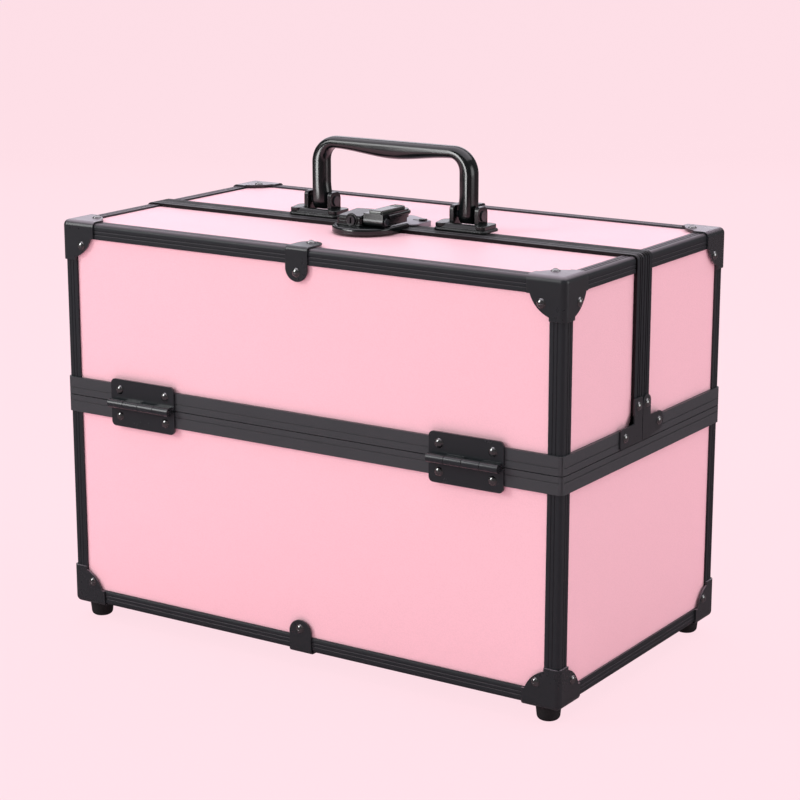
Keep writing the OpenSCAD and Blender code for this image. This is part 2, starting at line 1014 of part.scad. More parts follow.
// Bracket for one leg of the handle, centred on x = 0
module handle_bracket() {
    front = mount_q;
    base_t = rim_proud + 2.3;
    lug_r = 5.2;
    lug_t = base_t + 3.4;
    ear_r = 5.4;
    lug_x = mount_w / 2 - lug_r;
    difference() {
        union() {
            seated(base_t)
                for (sx = [-1, 1])
                    difference() {
                        translate([sx < 0 ? -mount_w / 2 : 0, front]) square([mount_w / 2, mount_d]);
                        translate([sx * mount_w / 2, front])
                            mirror([sx > 0 ? 1 : 0, 0]) corner_cut(3);
                        translate([sx * mount_w / 2, front + mount_d])
                            mirror([sx > 0 ? 1 : 0, 0]) mirror([0, 1]) corner_cut(5);
                    }
            for (sx = [-1, 1]) {
                translate([sx * lug_x, front + mount_d / 2, base_t - 0.01])
                    cylinder(r = lug_r, h = lug_t - base_t);
                translate([sx * (ear_gap + ear_t) / 2 - ear_t / 2, 0, 0])
                    run_x(0, ear_t) {
                        translate([pivot_q, pivot_t]) circle(ear_r);
                        polygon([[front + 1.2, base_t - 0.01], [pivot_q - ear_r, pivot_t],
                            [pivot_q + ear_r, pivot_t], [front + mount_d - 2.4, base_t - 0.01]]);
                    }
            }
            translate([-lug_x, 0, 0])
                run_x(0, 2 * lug_x)
                    polygon([[front, base_t - 0.01], [front + 0.9, lug_t - 0.6],
                        [front + 2.3, lug_t - 0.6], [front + 2.6, base_t - 0.01]]);
        }
        translate([-mount_w, pivot_q, pivot_t])
            rotate([0, 90, 0]) cylinder(d = handle_pin_d + 2 * run_fit, h = 2 * mount_w);
    }
}

module handle_brackets() {
    color("#2e2e31")
        on_lid_top(REAR)
            for (sx = [-1, 1])
                translate([handle_x + sx * pivot_half, 0, 0]) handle_bracket();
}

// Headed pins that the legs turn on
module handle_pins() {
    length = ear_gap + 2 * ear_t;
    color("#47474b")
        on_lid_top(REAR)
            for (sx = [-1, 1])
                translate([handle_x + sx * pivot_half - length / 2, pivot_q, pivot_t])
                    rotate([0, 90, 0]) {
                        cylinder(d = handle_pin_d, h = length);
                        for (end = [-1, length])
                            translate([0, 0, end]) cylinder(d = handle_pin_d + 2.4, h = 1);
                    }
}

// The sweep of the handle: a line that stays grip_t / 2 inside its outer outline
line_in = grip_t / 2;
line_x = pivot_half + leg_w / 2 - line_in;
line_top = handle_h - line_in;
line_r = bend_r - line_in;
leg_steps = 5;
bend_steps = 10;
grip_steps = 20;
ring_sides = 20;

leg_z = [for (k = [0 : leg_steps]) pivot_t + (line_top - line_r - pivot_t) * k / leg_steps];
left_leg = [for (z = leg_z) [-line_x, z, 180]];
left_bend = [for (k = [1 : bend_steps]) let (a = 180 - 90 * k / bend_steps)
    [-line_x + line_r + line_r * cos(a), line_top - line_r + line_r * sin(a), a]];
grip_line = [for (k = [1 : grip_steps - 1])
    [(line_x - line_r) * (2 * k / grip_steps - 1), line_top, 90]];
half_line = concat(left_leg, left_bend);
right_half = [for (k = [len(half_line) - 1 : -1 : 0])
    [-half_line[k][0], half_line[k][1], 180 - half_line[k][2]]];
sweep = concat(half_line, grip_line, right_half);

// Smooth step from 0 to 1
function ease(t) = let (c = max(0, min(1, t))) c * c * (3 - 2 * c);

// Inward thickness of the handle at a point of the line: the legs are thick, the
// bends thin, and the grip swells in the middle
function inner_t(p) =
    let (leg = leg_w - line_in,
        thin = ease((p[1] - (line_top - line_r - 6)) / (line_r * 0.75 + 6)),
        swell = grip_swell * ease(1 - abs(p[0]) / (line_x - line_r + 1)))
    leg + (line_in - leg) * thin + swell * (p[1] > line_top - 0.01 ? 1 : 0);

// One ring of the sweep: a rounded section, square to the line
function ring(p) =
    [for (k = [0 : ring_sides - 1])
        let (a = 360 * k / ring_sides,
            c = sign(cos(a)) * pow(abs(cos(a)), 0.8),
            d = sign(sin(a)) * pow(abs(sin(a)), 0.8),
            reach = c > 0 ? line_in * c : inner_t(p) * c)
        [p[0] + reach * cos(p[2]), d * handle_t / 2, p[1] + reach * sin(p[2])]];

module handle_sweep() {
    rings = len(sweep);
    points = [for (p = sweep) each ring(p)];
    sides = [for (r = [0 : rings - 2], k = [0 : ring_sides - 1])
        let (a = r * ring_sides + k,
            b = r * ring_sides + (k + 1) % ring_sides)
        each [[a, b, b + ring_sides], [a, b + ring_sides, a + ring_sides]]];
    start = [for (k = [ring_sides - 1 : -1 : 0]) k];
    end = [for (k = [0 : ring_sides - 1]) (rings - 1) * ring_sides + k];
    polyhedron(points, concat(sides, [start, end]), convexity = 6);
}

module handle() {
    color("#232326")
        on_lid_top(REAR)
            translate([handle_x, pivot_q, 0])
                difference() {
                    union() {
                        handle_sweep();
                        for (sx = [-1, 1])
                            translate([sx * pivot_half - eye_w / 2, 0, pivot_t])
                                rotate([0, 90, 0]) cylinder(r = eye_r, h = eye_w);
                    }
                    for (sx = [-1, 1])
                        translate([sx * pivot_half - eye_w, 0, pivot_t])
                            rotate([0, 90, 0])
                                cylinder(d = handle_pin_d + 2 * run_fit, h = 2 * eye_w);
                }
}

// ---------------------------------------------------------------- latch

plate_top = rim_proud + latch_t;
seam_in = 0.3;      // distance of the latch pieces from the edge of their lid
lock_left = -lock_out;
lock_right = lock_left + lock_w;
lock_back = 2;
strike_in = 3.6;
lock_front = lock_back + lock_d;
barrel_out = 1.1;
barrel_in = 10;
slot_w = 1.2;
slot_depth = 1.5;
barrel_x = lock_left + 0.64 * lock_w;
barrel_h = plate_top + barrel_d / 2 + 0.6;
lever_left = lock_right + 0.4;
lever_right = lever_left + lever_w;
lever_q = lock_front - 5;
pivot_h = plate_top + lever_barrel_d / 2 + air;
nose = 0.9 * lever_barrel_d / 2;
wall_low = plate_top + 0.6;
over_low = plate_top + 3.2;     // underside of what reaches over the other lid
bead_h = lever_h - bead_d / 2 - 0.8;
pin_in = 3.6;
pin_head_t = 1.2;

// Places children drawn on the front lid at the latch: x across, y from the seam
// towards the front and z up
module at_latch() {
    on_lid_top(FRONT) translate([latch_x, 0, 0]) children();
}

// D-shaped plate: square at the seam, half round towards the front
module latch_plate() {
    r = latch_w / 2;
    color("#2b2b2e")
        at_latch()
            seated(plate_top) {
                translate([-r, seam_in]) square([2 * r, latch_d - r - seam_in]);
                translate([0, latch_d - r]) circle(r);
            }
}

// Lock case with the bores of its key barrel and of the lever pin
module lock_case() {
    b = lock_bevel;
    color("#303034")
        at_latch()
            difference() {
                intersection() {
                    run_x(lock_left, lock_right)
                        polygon([[lock_back, plate_top], [lock_front, plate_top],
                            [lock_front, lock_h - 2 * b], [lock_front - b, lock_h - 0.5 * b],
                            [lock_front - 5 * b, lock_h], [lock_back + b, lock_h],
                            [lock_back, lock_h - b]]);
                    run_y(lock_back, lock_front)
                        polygon([[lock_left, plate_top], [lock_right, plate_top],
                            [lock_right, lock_h - b / 2], [lock_right - b / 2, lock_h],
                            [lock_left + b, lock_h], [lock_left, lock_h - b]]);
                }
                translate([barrel_x, lock_front + over, barrel_h])
                    rotate([90, 0, 0])
                        cylinder(d = barrel_d + 2 * run_fit, h = barrel_in + over + air);
                translate([lock_right - pin_in - air, lever_q, pivot_h])
                    rotate([0, 90, 0])
                        cylinder(d = lever_pin_d + 2 * run_fit, h = pin_in + air + over);
            }
}

// Key barrel with its slot
module key_barrel() {
    color("#56565a")
        at_latch()
            translate([barrel_x, lock_front + barrel_out, barrel_h])
                rotate([90, 0, 0])
                    difference() {
                        cylinder(d = barrel_d, h = barrel_in + barrel_out);
                        translate([-slot_w / 2, -barrel_d / 3, -over])
                            cube([slot_w, barrel_d / 1.5, over + slot_depth]);
                    }
}

// Headed pin, held in the lock case
module lever_pin() {
    from = lock_right - pin_in;
    to = lever_right + 0.2;
    color("#47474b")
        at_latch()
            translate([from, lever_q, pivot_h])
                rotate([0, 90, 0]) {
                    cylinder(d = lever_pin_d, h = to - from);
                    translate([0, 0, to - from]) cylinder(d = lever_pin_d + 1.6, h = pin_head_t);
                }
}

// Plan of the lever drawn in by a distance: round corners at the seam
module lever_outline(inset) {
    w = lever_w - 2 * inset;
    d = lever_q + nose + lever_over - 2 * inset;
    translate([lever_left + inset, inset - lever_over])
        difference() {
            square([w, d]);
            corner_cut(lever_r - inset);
            translate([w, 0]) mirror([1, 0]) corner_cut(lever_r - inset);
        }
}

// Lever: a cover on a barrel, hollow below, with a raised panel and a bead around it
module latch_lever() {
    color("#28282b")
        at_latch()
            difference() {
                union() {
                    difference() {
                        run_z(wall_low, lever_h) lever_outline(0);
                        run_z(0, lever_h - lever_t) lever_outline(lever_t);
                        run_z(0, over_low)
                            translate([0, -lever_over - over])
                                square([2 * lever_right, lever_over + over + seam_in]);
                        run_z(0, pivot_h)
                            translate([0, lever_q]) square([2 * lever_right, lever_barrel_d]);
                    }
                    run_z(lever_h - 0.5 * lever_t, lever_h + lever_panel_t) lever_outline(1.4 * lever_t);
                    translate([lever_left, lever_q, pivot_h])
                        rotate([0, 90, 0]) cylinder(d = lever_barrel_d, h = lever_w);
                    lever_bead();
                }
                translate([lever_left - over, lever_q, pivot_h])
                    rotate([0, 90, 0])
                        cylinder(d = lever_pin_d + 2 * run_fit, h = lever_w + 2 * over);
            }
}

// Half-round bead along the right side of the lever and around its end at the seam
module lever_bead() {
    corner_q = lever_r - lever_over;
    translate([lever_right, corner_q, bead_h])
        rotate([-90, 0, 0]) cylinder(d = bead_d, h = lever_q - corner_q - lever_barrel_d / 2);
    translate([lever_left + lever_r, -lever_over, bead_h])
        rotate([0, 90, 0]) cylinder(d = bead_d, h = lever_w - 2 * lever_r);
    for (x = [lever_left + lever_r, lever_right - lever_r])
        translate([x, corner_q, bead_h])
            rotate(x < lever_left + lever_w / 2 ? 180 : 270)
                rotate_extrude(angle = 90) translate([lever_r, 0]) circle(d = bead_d);
}

// Strike plate on the rear lid, pointed to the rear, with two slots
module latch_strike() {
    half = latch_w / 2 + 1;
    shoulder = 0.66 * strike_d;
    slot = [8, 2.6];
    color("#8d8d92")
        on_lid_top(REAR)
            translate([latch_x, 0, 0])
                difference() {
                    seated(rim_proud + strike_t)
                        polygon([[3 - half, strike_in], [half - 3, strike_in], [half, strike_in + 3],
                            [half, shoulder], [0.74 * half, shoulder + 4], [2, strike_d],
                            [-2, strike_d], [-0.74 * half, shoulder + 4], [-half, shoulder],
                            [-half, strike_in + 3]]);
                    for (sx = [-1, 1])
                        translate([sx * 0.66 * half - slot[0] / 2, shoulder - slot[1], -skirt - over])
                            cube([slot[0], slot[1], rim_proud + strike_t + skirt + 2 * over]);
                }
}

// ---------------------------------------------------------------- trays and arms

plate_n = rail_seat + tongue_t + 0.1;
arm_near = plate_n + arm_plate_t + 0.5;
pin_head_r = arm_pin_d / 2 + 1.5;
pin_head_h = 0.9;
arm_plate_edge = 1.5;

tray_d = case_d / 2 - tray_in - tray_mid_gap / 2;
tray_h = (lid_h - wall_n - tray_up - tray_gap - tray_air) / 2;
rise_low = tray_up + tray_pivot_h - arm_up;
rise_high = rise_low + tray_h + tray_gap;

// Point of an arm at a height above its pivot, in a side frame
function arm_point(rise) = [arm_in + rise * tan(arm_lean), arm_up + rise];

// A flat bar from the case pivot past both tray pivots, in the plane of the arms
module arm(shift) {
    length = rise_high / cos(arm_lean);
    translate([-half_w + arm_near, shift, 0])
        difference() {
            translate([0, arm_in, arm_up])
                rotate([-arm_lean, 0, 0]) {
                    translate([0, -arm_w / 2, 0]) cube([arm_t, arm_w, length]);
                    for (z = [0, length])
                        translate([0, 0, z]) rotate([0, 90, 0]) cylinder(d = arm_w, h = arm_t);
                }
            for (rise = [0, rise_low, rise_high])
                translate([-over, arm_point(rise)[0], arm_point(rise)[1]])
                    rotate([0, 90, 0])
                        cylinder(d = arm_pin_d + 2 * run_fit, h = arm_t + 2 * over);
        }
}

module front_outer_arms() {
    color("#6a6a6e") side(FRONT) both_ends() arm(0);
}

module front_inner_arms() {
    color("#6a6a6e") side(FRONT) both_ends() arm(arm_pitch);
}

module rear_outer_arms() {
    color("#6a6a6e") side(REAR) both_ends() arm(0);
}

module rear_inner_arms() {
    color("#6a6a6e") side(REAR) both_ends() arm(arm_pitch);
}

// Plates on the end walls of the base that carry the arms, one for each side
module arm_plates() {
    low = -base_rim_h - arm_plate_drop;
    reach = arm_w / 2 + arm_plate_edge;
    color("#77777b")
        both_sides()
            both_ends()
                translate([-half_w + plate_n, 0, 0])
                    rotate([90, 0, 90])
                        linear_extrude(arm_plate_t) {
                            translate([arm_in - reach, low])
                                square([arm_pitch + 2 * reach, arm_up - low]);
                            translate([arm_in, arm_up]) circle(reach);
                            translate([arm_in + arm_pitch, arm_up]) circle(reach);
                        }
}

// Headed pins of the arms on those plates
module arm_plate_pins() {
    from = plate_n + arm_plate_t;
    to = arm_near + arm_t + 0.25;
    color("#9a9a9e")
        both_sides()
            both_ends()
                for (shift = [0, arm_pitch])
                    translate([-half_w + from, arm_in + shift, arm_up])
                        rotate([0, 90, 0]) {
                            cylinder(d = arm_pin_d, h = to - from);
                            translate([0, 0, to - from]) cylinder(r = pin_head_r, h = pin_head_h);
                        }
}

// Moulded tray with rounded corners and cross walls, its bottom at the given height
module tray(low) {
    length = case_w - 2 * tray_end_in;
    cell = (length - (tray_cells + 1) * tray_wall) / tray_cells;
    translate([-length / 2, tray_in, low])
        difference() {
            linear_extrude(tray_h) rounded_rect(length, tray_d, tray_r);
            for (k = [0 : tray_cells - 1])
                translate([tray_wall + k * (cell + tray_wall), tray_wall, tray_floor])
                    linear_extrude(tray_h)
                        rounded_rect(cell, tray_d - 2 * tray_wall, tray_r - tray_wall);
        }
}

// Rectangle from the origin with rounded corners
module rounded_rect(w, d, r) {
    difference() {
        square([w, d]);
        for (mx = [0, 1], my = [0, 1])
            translate([mx * w, my * d])
                mirror([mx, 0])
                    mirror([0, my]) corner_cut(r);
    }
}

module front_lower_tray() {
    color("#2c2629") side(FRONT) tray(tray_up);
}

module front_upper_tray() {
    color("#2c2629") side(FRONT) tray(tray_up + tray_h + tray_gap);
}

module rear_lower_tray() {
    color("#2c2629") side(REAR) tray(tray_up);
}

module rear_upper_tray() {
    color("#2c2629") side(REAR) tray(tray_up + tray_h + tray_gap);
}

// Shouldered pins on the ends of a tray, for the outer and the inner arm
module tray_pins(rise) {
    p = arm_point(rise);
    shoulder = arm_near + arm_t + 0.15;
    both_ends()
        for (shift = [0, arm_pitch])
            translate([-half_w, p[0] + shift, p[1]])
                rotate([0, 90, 0]) {
                    translate([0, 0, shoulder])
                        cylinder(r = pin_head_r, h = tray_end_in - shoulder);
                    translate([0, 0, arm_near - 0.15])
                        cylinder(d = arm_pin_d, h = tray_end_in - arm_near);
                    translate([0, 0, arm_near - 0.15 - pin_head_h])
                        cylinder(r = pin_head_r, h = pin_head_h);
                }
}

module front_lower_tray_pins() {
    color("#9a9a9e") side(FRONT) tray_pins(rise_low);
}

module front_upper_tray_pins() {
    color("#9a9a9e") side(FRONT) tray_pins(rise_high);
}

module rear_lower_tray_pins() {
    color("#9a9a9e") side(REAR) tray_pins(rise_low);
}

module rear_upper_tray_pins() {
    color("#9a9a9e") side(REAR) tray_pins(rise_high);
}

// ---------------------------------------------------------------- nodes

base_front_rear_panels();
base_end_panels();
base_floor_panel();
base_edge_rails();
base_rim();
base_corner_caps();
base_edge_clips();
base_lining();
base_rivets();
base_hinge_leaves();
hinge_pins();
feet();
foot_screws();
arm_plates();
arm_plate_pins();
front_lid_panels();
front_lid_edge_rails();
front_lid_rim();
front_lid_seam_rim();
front_lid_corner_caps();
front_lid_edge_clip();
front_lid_seam_brackets();
front_lid_lining();
front_lid_rivets();
front_lid_hinge_leaves();
latch_plate();
lock_case();
key_barrel();
lever_pin();
latch_lever();
rear_lid_panels();
rear_lid_edge_rails();
rear_lid_rim();
rear_lid_seam_rim();
rear_lid_corner_caps();
rear_lid_edge_clip();
rear_lid_seam_brackets();
rear_lid_lining();
rear_lid_rivets();
rear_lid_hinge_leaves();
latch_strike();
handle_brackets();
handle_pins();
handle();
front_lower_tray();
front_upper_tray();
rear_lower_tray();
rear_upper_tray();
front_lower_tray_pins();
front_upper_tray_pins();
rear_lower_tray_pins();
rear_upper_tray_pins();
front_outer_arms();
front_inner_arms();
rear_outer_arms();
rear_inner_arms();
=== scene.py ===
"""A framed make-up case with two lids: finishes and finer pieces around its CAD solids, and a studio."""
import json
import math

import bmesh
import bpy
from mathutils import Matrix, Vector

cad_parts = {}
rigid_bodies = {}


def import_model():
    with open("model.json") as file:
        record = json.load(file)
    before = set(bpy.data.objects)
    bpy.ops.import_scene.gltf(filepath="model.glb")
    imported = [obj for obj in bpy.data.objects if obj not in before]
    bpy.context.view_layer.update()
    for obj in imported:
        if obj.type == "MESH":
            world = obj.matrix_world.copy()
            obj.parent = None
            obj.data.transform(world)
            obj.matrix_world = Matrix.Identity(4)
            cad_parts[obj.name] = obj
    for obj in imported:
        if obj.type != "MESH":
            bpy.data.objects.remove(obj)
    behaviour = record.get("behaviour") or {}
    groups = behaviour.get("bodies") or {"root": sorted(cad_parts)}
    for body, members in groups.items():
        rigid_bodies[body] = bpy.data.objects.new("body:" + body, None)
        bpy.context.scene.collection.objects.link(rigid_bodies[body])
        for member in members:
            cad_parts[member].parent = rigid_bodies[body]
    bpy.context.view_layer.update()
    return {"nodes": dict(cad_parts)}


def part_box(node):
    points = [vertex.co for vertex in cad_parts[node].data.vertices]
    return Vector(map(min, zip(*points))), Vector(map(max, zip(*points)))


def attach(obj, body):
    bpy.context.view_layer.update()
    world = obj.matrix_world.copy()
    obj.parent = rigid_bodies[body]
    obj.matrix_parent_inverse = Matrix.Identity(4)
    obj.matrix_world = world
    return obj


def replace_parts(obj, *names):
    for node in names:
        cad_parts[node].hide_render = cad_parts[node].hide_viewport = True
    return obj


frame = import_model()

bl_info = {
    "name": "Framed make-up case",
    "version": (1, 0, 0),
    "blender": (4, 5, 0),
    "location": "3D View > Sidebar > Case",
    "description": "Finishes and detailed pieces of a framed make-up case with two lids",
    "category": "Object",
}

MM = 0.001
NODES = frame["nodes"]
LID_TOP = 261.0 * MM          # outside of the lids' top panels
FRONT_SEAM = -7.8 * MM        # edge of the front lid at the seam
REAR_SEAM = -7.2 * MM         # edge of the rear lid at the seam


# ------------------------------------------------------------------ settings

def colour(name, default, description):
    return bpy.props.FloatVectorProperty(
        name=name, description=description, subtype="COLOR", size=3, min=0.0, max=1.0, default=default)


def length(name, default, description):
    return bpy.props.FloatProperty(
        name=name, description=description, default=default, min=0.0, unit="LENGTH", subtype="DISTANCE")


def share(name, default, description):
    return bpy.props.FloatProperty(
        name=name, description=description, default=default, min=0.0, max=1.0, subtype="FACTOR")


def power(name, default, description):
    return bpy.props.FloatProperty(
        name=name, description=description, default=default, min=0.0, unit="POWER")


class CaseColours(bpy.types.PropertyGroup):
    panel: colour("Panels", (0.92, 0.575, 0.63), "Colour of the grained panels")
    frame_black: colour("Edge rails", (0.0175, 0.0213, 0.0245), "Black of the anodised rails")
    rim_black: colour("Closing frames", (0.041, 0.047, 0.051), "Black of the frames where the halves meet")
    cap_black: colour("Corner caps", (0.0175, 0.0215, 0.0240), "Black of the painted caps and clips")
    gloss_black: colour("Gloss black", (0.0032, 0.0052, 0.0056), "Black of the handle and the latch")
    foot_black: colour("Bracket feet", (0.0065, 0.0085, 0.0085), "Black of the feet of the handle brackets")
    pad_green: colour("Lever pad", (0.038, 0.043, 0.038), "Greenish black of the pad on the latch lever")
    # The pale lilac grey is painted reflection of the bright backdrop on the flat plate.
    strike_grey: colour("Strike plate", (0.26, 0.245, 0.28), "Grey of the strike plate")
    steel: colour("Bare steel", (0.36, 0.36, 0.37), "Steel of the tray linkage and the screws")
    lining: colour("Lining", (0.030, 0.024, 0.028), "Short pile cloth inside the case")
    tray: colour("Trays", (0.028, 0.024, 0.027), "Moulded plastic of the trays")
    felt: colour("Tray mats", (0.070, 0.060, 0.066), "Felt of the mats in the trays")
    rubber: colour("Feet", (0.012, 0.012, 0.013), "Rubber of the feet")
    backdrop: colour("Backdrop", (1.0, 0.745, 0.807), "Colour of the floor and the background")


class CaseSizes(bpy.types.PropertyGroup):
    edge_round: length("Edge rounding", 0.35 * MM, "Rounding of the edges of the metal pieces")
    grain: length("Grain size", 0.9 * MM, "Size of a pebble in the grain of the panels")
    grain_height: length("Grain height", 0.05 * MM, "Height of the grain of the panels")
    mat: length("Tray mat", 1.0 * MM, "Thickness of the felt mats in the trays")


class StudioSettings(bpy.types.PropertyGroup):
    key: power("Key light", 13.6, "Power of the left softbox")
    fill: power("Fill light", 5.0, "Power of the wide front softbox")
    top: power("Top light", 23.0, "Power of the overhead softbox")
    side: power("Side light", 5.1, "Power of the right softbox")
    back: power("Back light", 5.5, "Power of the low softbox behind")
    left_card: power("Left card", 7.2, "Power of the left card")
    right_card: power("Right card", 0.8, "Power of the right card")
    world: share("Room light", 0.4, "Strength of the light from all round")
    dim: share("Background in reflections", 0.14, "Strength of the background in glossy surfaces")
    shadow: share("Shadow", 0.06, "How much of the floor's light can be shadowed")
    lens: bpy.props.FloatProperty(
        name="Lens", description="Focal length of the camera", default=101.98, min=20.0, unit="CAMERA")


def colours():
    return bpy.context.scene.case_colours


def sizes():
    return bpy.context.scene.case_sizes


def studio():
    return bpy.context.scene.case_studio


# ------------------------------------------------------------------ shader groups

def group(name, inputs, outputs):
    """An empty shader group with named float inputs and outputs."""
    tree = bpy.data.node_groups.new(name, "ShaderNodeTree")
    for label, value in inputs:
        tree.interface.new_socket(label, in_out="INPUT", socket_type="NodeSocketFloat").default_value = value
    for label in outputs:
        tree.interface.new_socket(label, in_out="OUTPUT", socket_type="NodeSocketFloat")
    return tree, tree.nodes.new("NodeGroupInput"), tree.nodes.new("NodeGroupOutput")


def maths(tree, operation, a, b=None, clamp=False):
    node = tree.nodes.new("ShaderNodeMath")
    node.operation = operation
    node.use_clamp = clamp
    for socket, value in zip(node.inputs, (a, b)):
        if value is None:
            continue
        if isinstance(value, (int, float)):
            socket.default_value = value
        else:
            tree.links.new(value, socket)
    return node.outputs[0]


def noise(tree, place, scale, detail=2.0, rough=0.5):
    node = tree.nodes.new("ShaderNodeTexNoise")
    tree.links.new(place, node.inputs["Vector"])
    if isinstance(scale, (int, float)):
        node.inputs["Scale"].default_value = scale
    else:
        tree.links.new(scale, node.inputs["Scale"])
    node.inputs["Detail"].default_value = detail
    node.inputs["Roughness"].default_value = rough
    return node.outputs["Fac"]


def spread(tree, value, low, high, to_low=0.0, to_high=1.0):
    node = tree.nodes.new("ShaderNodeMapRange")
    tree.links.new(value, node.inputs["Value"])
    for socket, limit in zip(("From Min", "From Max", "To Min", "To Max"), (low, high, to_low, to_high)):
        if isinstance(limit, (int, float)):
            node.inputs[socket].default_value = limit
        else:
            tree.links.new(limit, node.inputs[socket])
    return node.outputs["Result"]


def place_of(tree):
    return tree.nodes.new("ShaderNodeTexCoord").outputs["Object"]


def axes_of(tree, vector):
    """Splits a vector into its X, Y and Z."""
    node = tree.nodes.new("ShaderNodeSeparateXYZ")
    tree.links.new(vector, node.inputs[0])
    return node.outputs


def facing_of(tree):
    """The X, Y and Z of the way a surface faces at rest."""
    return axes_of(tree, tree.nodes.new("ShaderNodeTexCoord").outputs["Normal"])


def pebble_grain_group():
    """Soft pebbles of uneven size, pressed into a plastic sheet."""
    tree, given, out = group("Pebble grain", (("Size", 0.001), ("Unevenness", 0.5)), ("Height", "Valleys"))
    place = place_of(tree)
    cells = tree.nodes.new("ShaderNodeTexVoronoi")
    cells.feature = "SMOOTH_F1"
    tree.links.new(place, cells.inputs["Vector"])
    per_metre = maths(tree, "DIVIDE", 1.0, given.outputs["Size"])
    tree.links.new(per_metre, cells.inputs["Scale"])
    cells.inputs["Smoothness"].default_value = 0.35
    pebble = spread(tree, cells.outputs["Distance"], 0.05, 0.75, 1.0, 0.0)
    swell = noise(tree, place, maths(tree, "MULTIPLY", per_metre, 0.22), 3.0)
    uneven = maths(tree, "MULTIPLY", maths(tree, "SUBTRACT", swell, 0.5), given.outputs["Unevenness"])
    tree.links.new(maths(tree, "ADD", pebble, uneven), out.inputs["Height"])
    tree.links.new(maths(tree, "SUBTRACT", 1.0, pebble, clamp=True), out.inputs["Valleys"])
    return tree


def handling_group():
    """Roughness that varies the way touched metal does, with soft smears and fine specks."""
    tree, given, out = group(
        "Handling marks", (("Smooth", 0.3), ("Rough", 0.5), ("Patch", 0.04)), ("Roughness", "Dust"))
    place = place_of(tree)
    per_metre = maths(tree, "DIVIDE", 1.0, given.outputs["Patch"])
    smears = noise(tree, place, per_metre, 4.0, 0.6)
    specks = noise(tree, place, maths(tree, "MULTIPLY", per_metre, 22.0), 2.0)
    both = maths(tree, "ADD", maths(tree, "MULTIPLY", smears, 0.75), maths(tree, "MULTIPLY", specks, 0.25))
    roughness = spread(tree, both, 0.35, 0.65, given.outputs["Smooth"], given.outputs["Rough"])
    tree.links.new(roughness, out.inputs["Roughness"])
    tree.links.new(spread(tree, specks, 0.55, 0.75), out.inputs["Dust"])
    return tree


def edge_wear_and_glint_group():
    """A mask on the outer edges, broken up as rubbed paint is; it carries real wear, and on the ears a painted
    glint.
    """
    tree, given, out = group("Edge wear", (("Width", 0.0006), ("Patch", 0.006)), ("Mask",))
    soft = tree.nodes.new("ShaderNodeBevel")
    soft.samples = 4
    tree.links.new(given.outputs["Width"], soft.inputs["Radius"])
    flat = tree.nodes.new("ShaderNodeNewGeometry")
    dot = tree.nodes.new("ShaderNodeVectorMath")
    dot.operation = "DOT_PRODUCT"
    tree.links.new(soft.outputs["Normal"], dot.inputs[0])
    tree.links.new(flat.outputs["True Normal"], dot.inputs[1])
    bent = spread(tree, dot.outputs["Value"], 0.99, 0.86, 0.0, 1.0)
    broken = noise(tree, place_of(tree), maths(tree, "DIVIDE", 1.0, given.outputs["Patch"]), 3.0, 0.7)
    tree.links.new(maths(tree, "MULTIPLY", bent, spread(tree, broken, 0.38, 0.62)), out.inputs["Mask"])
    return tree


GROUPS = {}


def use(tree, maker, **values):
    """Places a shared group in a material with its own values."""
    if maker.__name__ not in GROUPS:
        GROUPS[maker.__name__] = maker()
    node = tree.nodes.new("ShaderNodeGroup")
    node.node_tree = GROUPS[maker.__name__]
    for label, value in values.items():
        node.inputs[label.replace("_", " ").capitalize()].default_value = value
    return node


# ------------------------------------------------------------------ materials

def shader(name, **plain):
    """A material with a Principled shader whose plain values are set on its own sockets."""
    material = bpy.data.materials.new(name)
    material.use_nodes = True
    tree = material.node_tree
    tree.nodes.clear()
    out = tree.nodes.new("ShaderNodeOutputMaterial")
    bsdf = tree.nodes.new("ShaderNodeBsdfPrincipled")
    tree.links.new(bsdf.outputs[0], out.inputs["Surface"])
    for label, value in plain.items():
        bsdf.inputs[label.replace("_", " ")].default_value = value
    return material, tree, bsdf


def mixed(tree, mask, a, b):
    node = tree.nodes.new("ShaderNodeMix")
    node.data_type = "RGBA"
    tree.links.new(mask, node.inputs[0])
    for socket, value in ((node.inputs[6], a), (node.inputs[7], b)):
        if isinstance(value, bpy.types.NodeSocket):
            tree.links.new(value, socket)
        else:
            socket.default_value = (*value, 1.0)
    return node.outputs[2]


def shade(rgb, by):
    return tuple(min(1.0, c * by) for c in rgb)


def bump(tree, bsdf, height, distance):
    node = tree.nodes.new("ShaderNodeBump")
    node.inputs["Strength"].default_value = 1.0
    node.inputs["Distance"].default_value = distance
    tree.links.new(height, node.inputs["Height"])
    tree.links.new(node.outputs[0], bsdf.inputs["Normal"])


def panel_material():
    """Pale sheet with a fine pebbled grain and a soft sheen."""
    c, s = colours(), sizes()
    material, tree, bsdf = shader("grained_panel", IOR=1.46, Specular_IOR_Level=0.22)
    grain = use(tree, pebble_grain_group, size=s.grain, unevenness=0.7)
    # The grain's valleys are painted a little darker: painted shade in the recesses.
    tint = mixed(tree, grain.outputs["Valleys"], c.panel, shade(c.panel, 0.955))
    tree.links.new(tint, bsdf.inputs["Base Color"])
    marks = use(tree, handling_group, smooth=0.42, rough=0.54, patch=0.06)
    tree.links.new(marks.outputs["Roughness"], bsdf.inputs["Roughness"])
    bump(tree, bsdf, grain.outputs["Height"], s.grain_height)
    return material


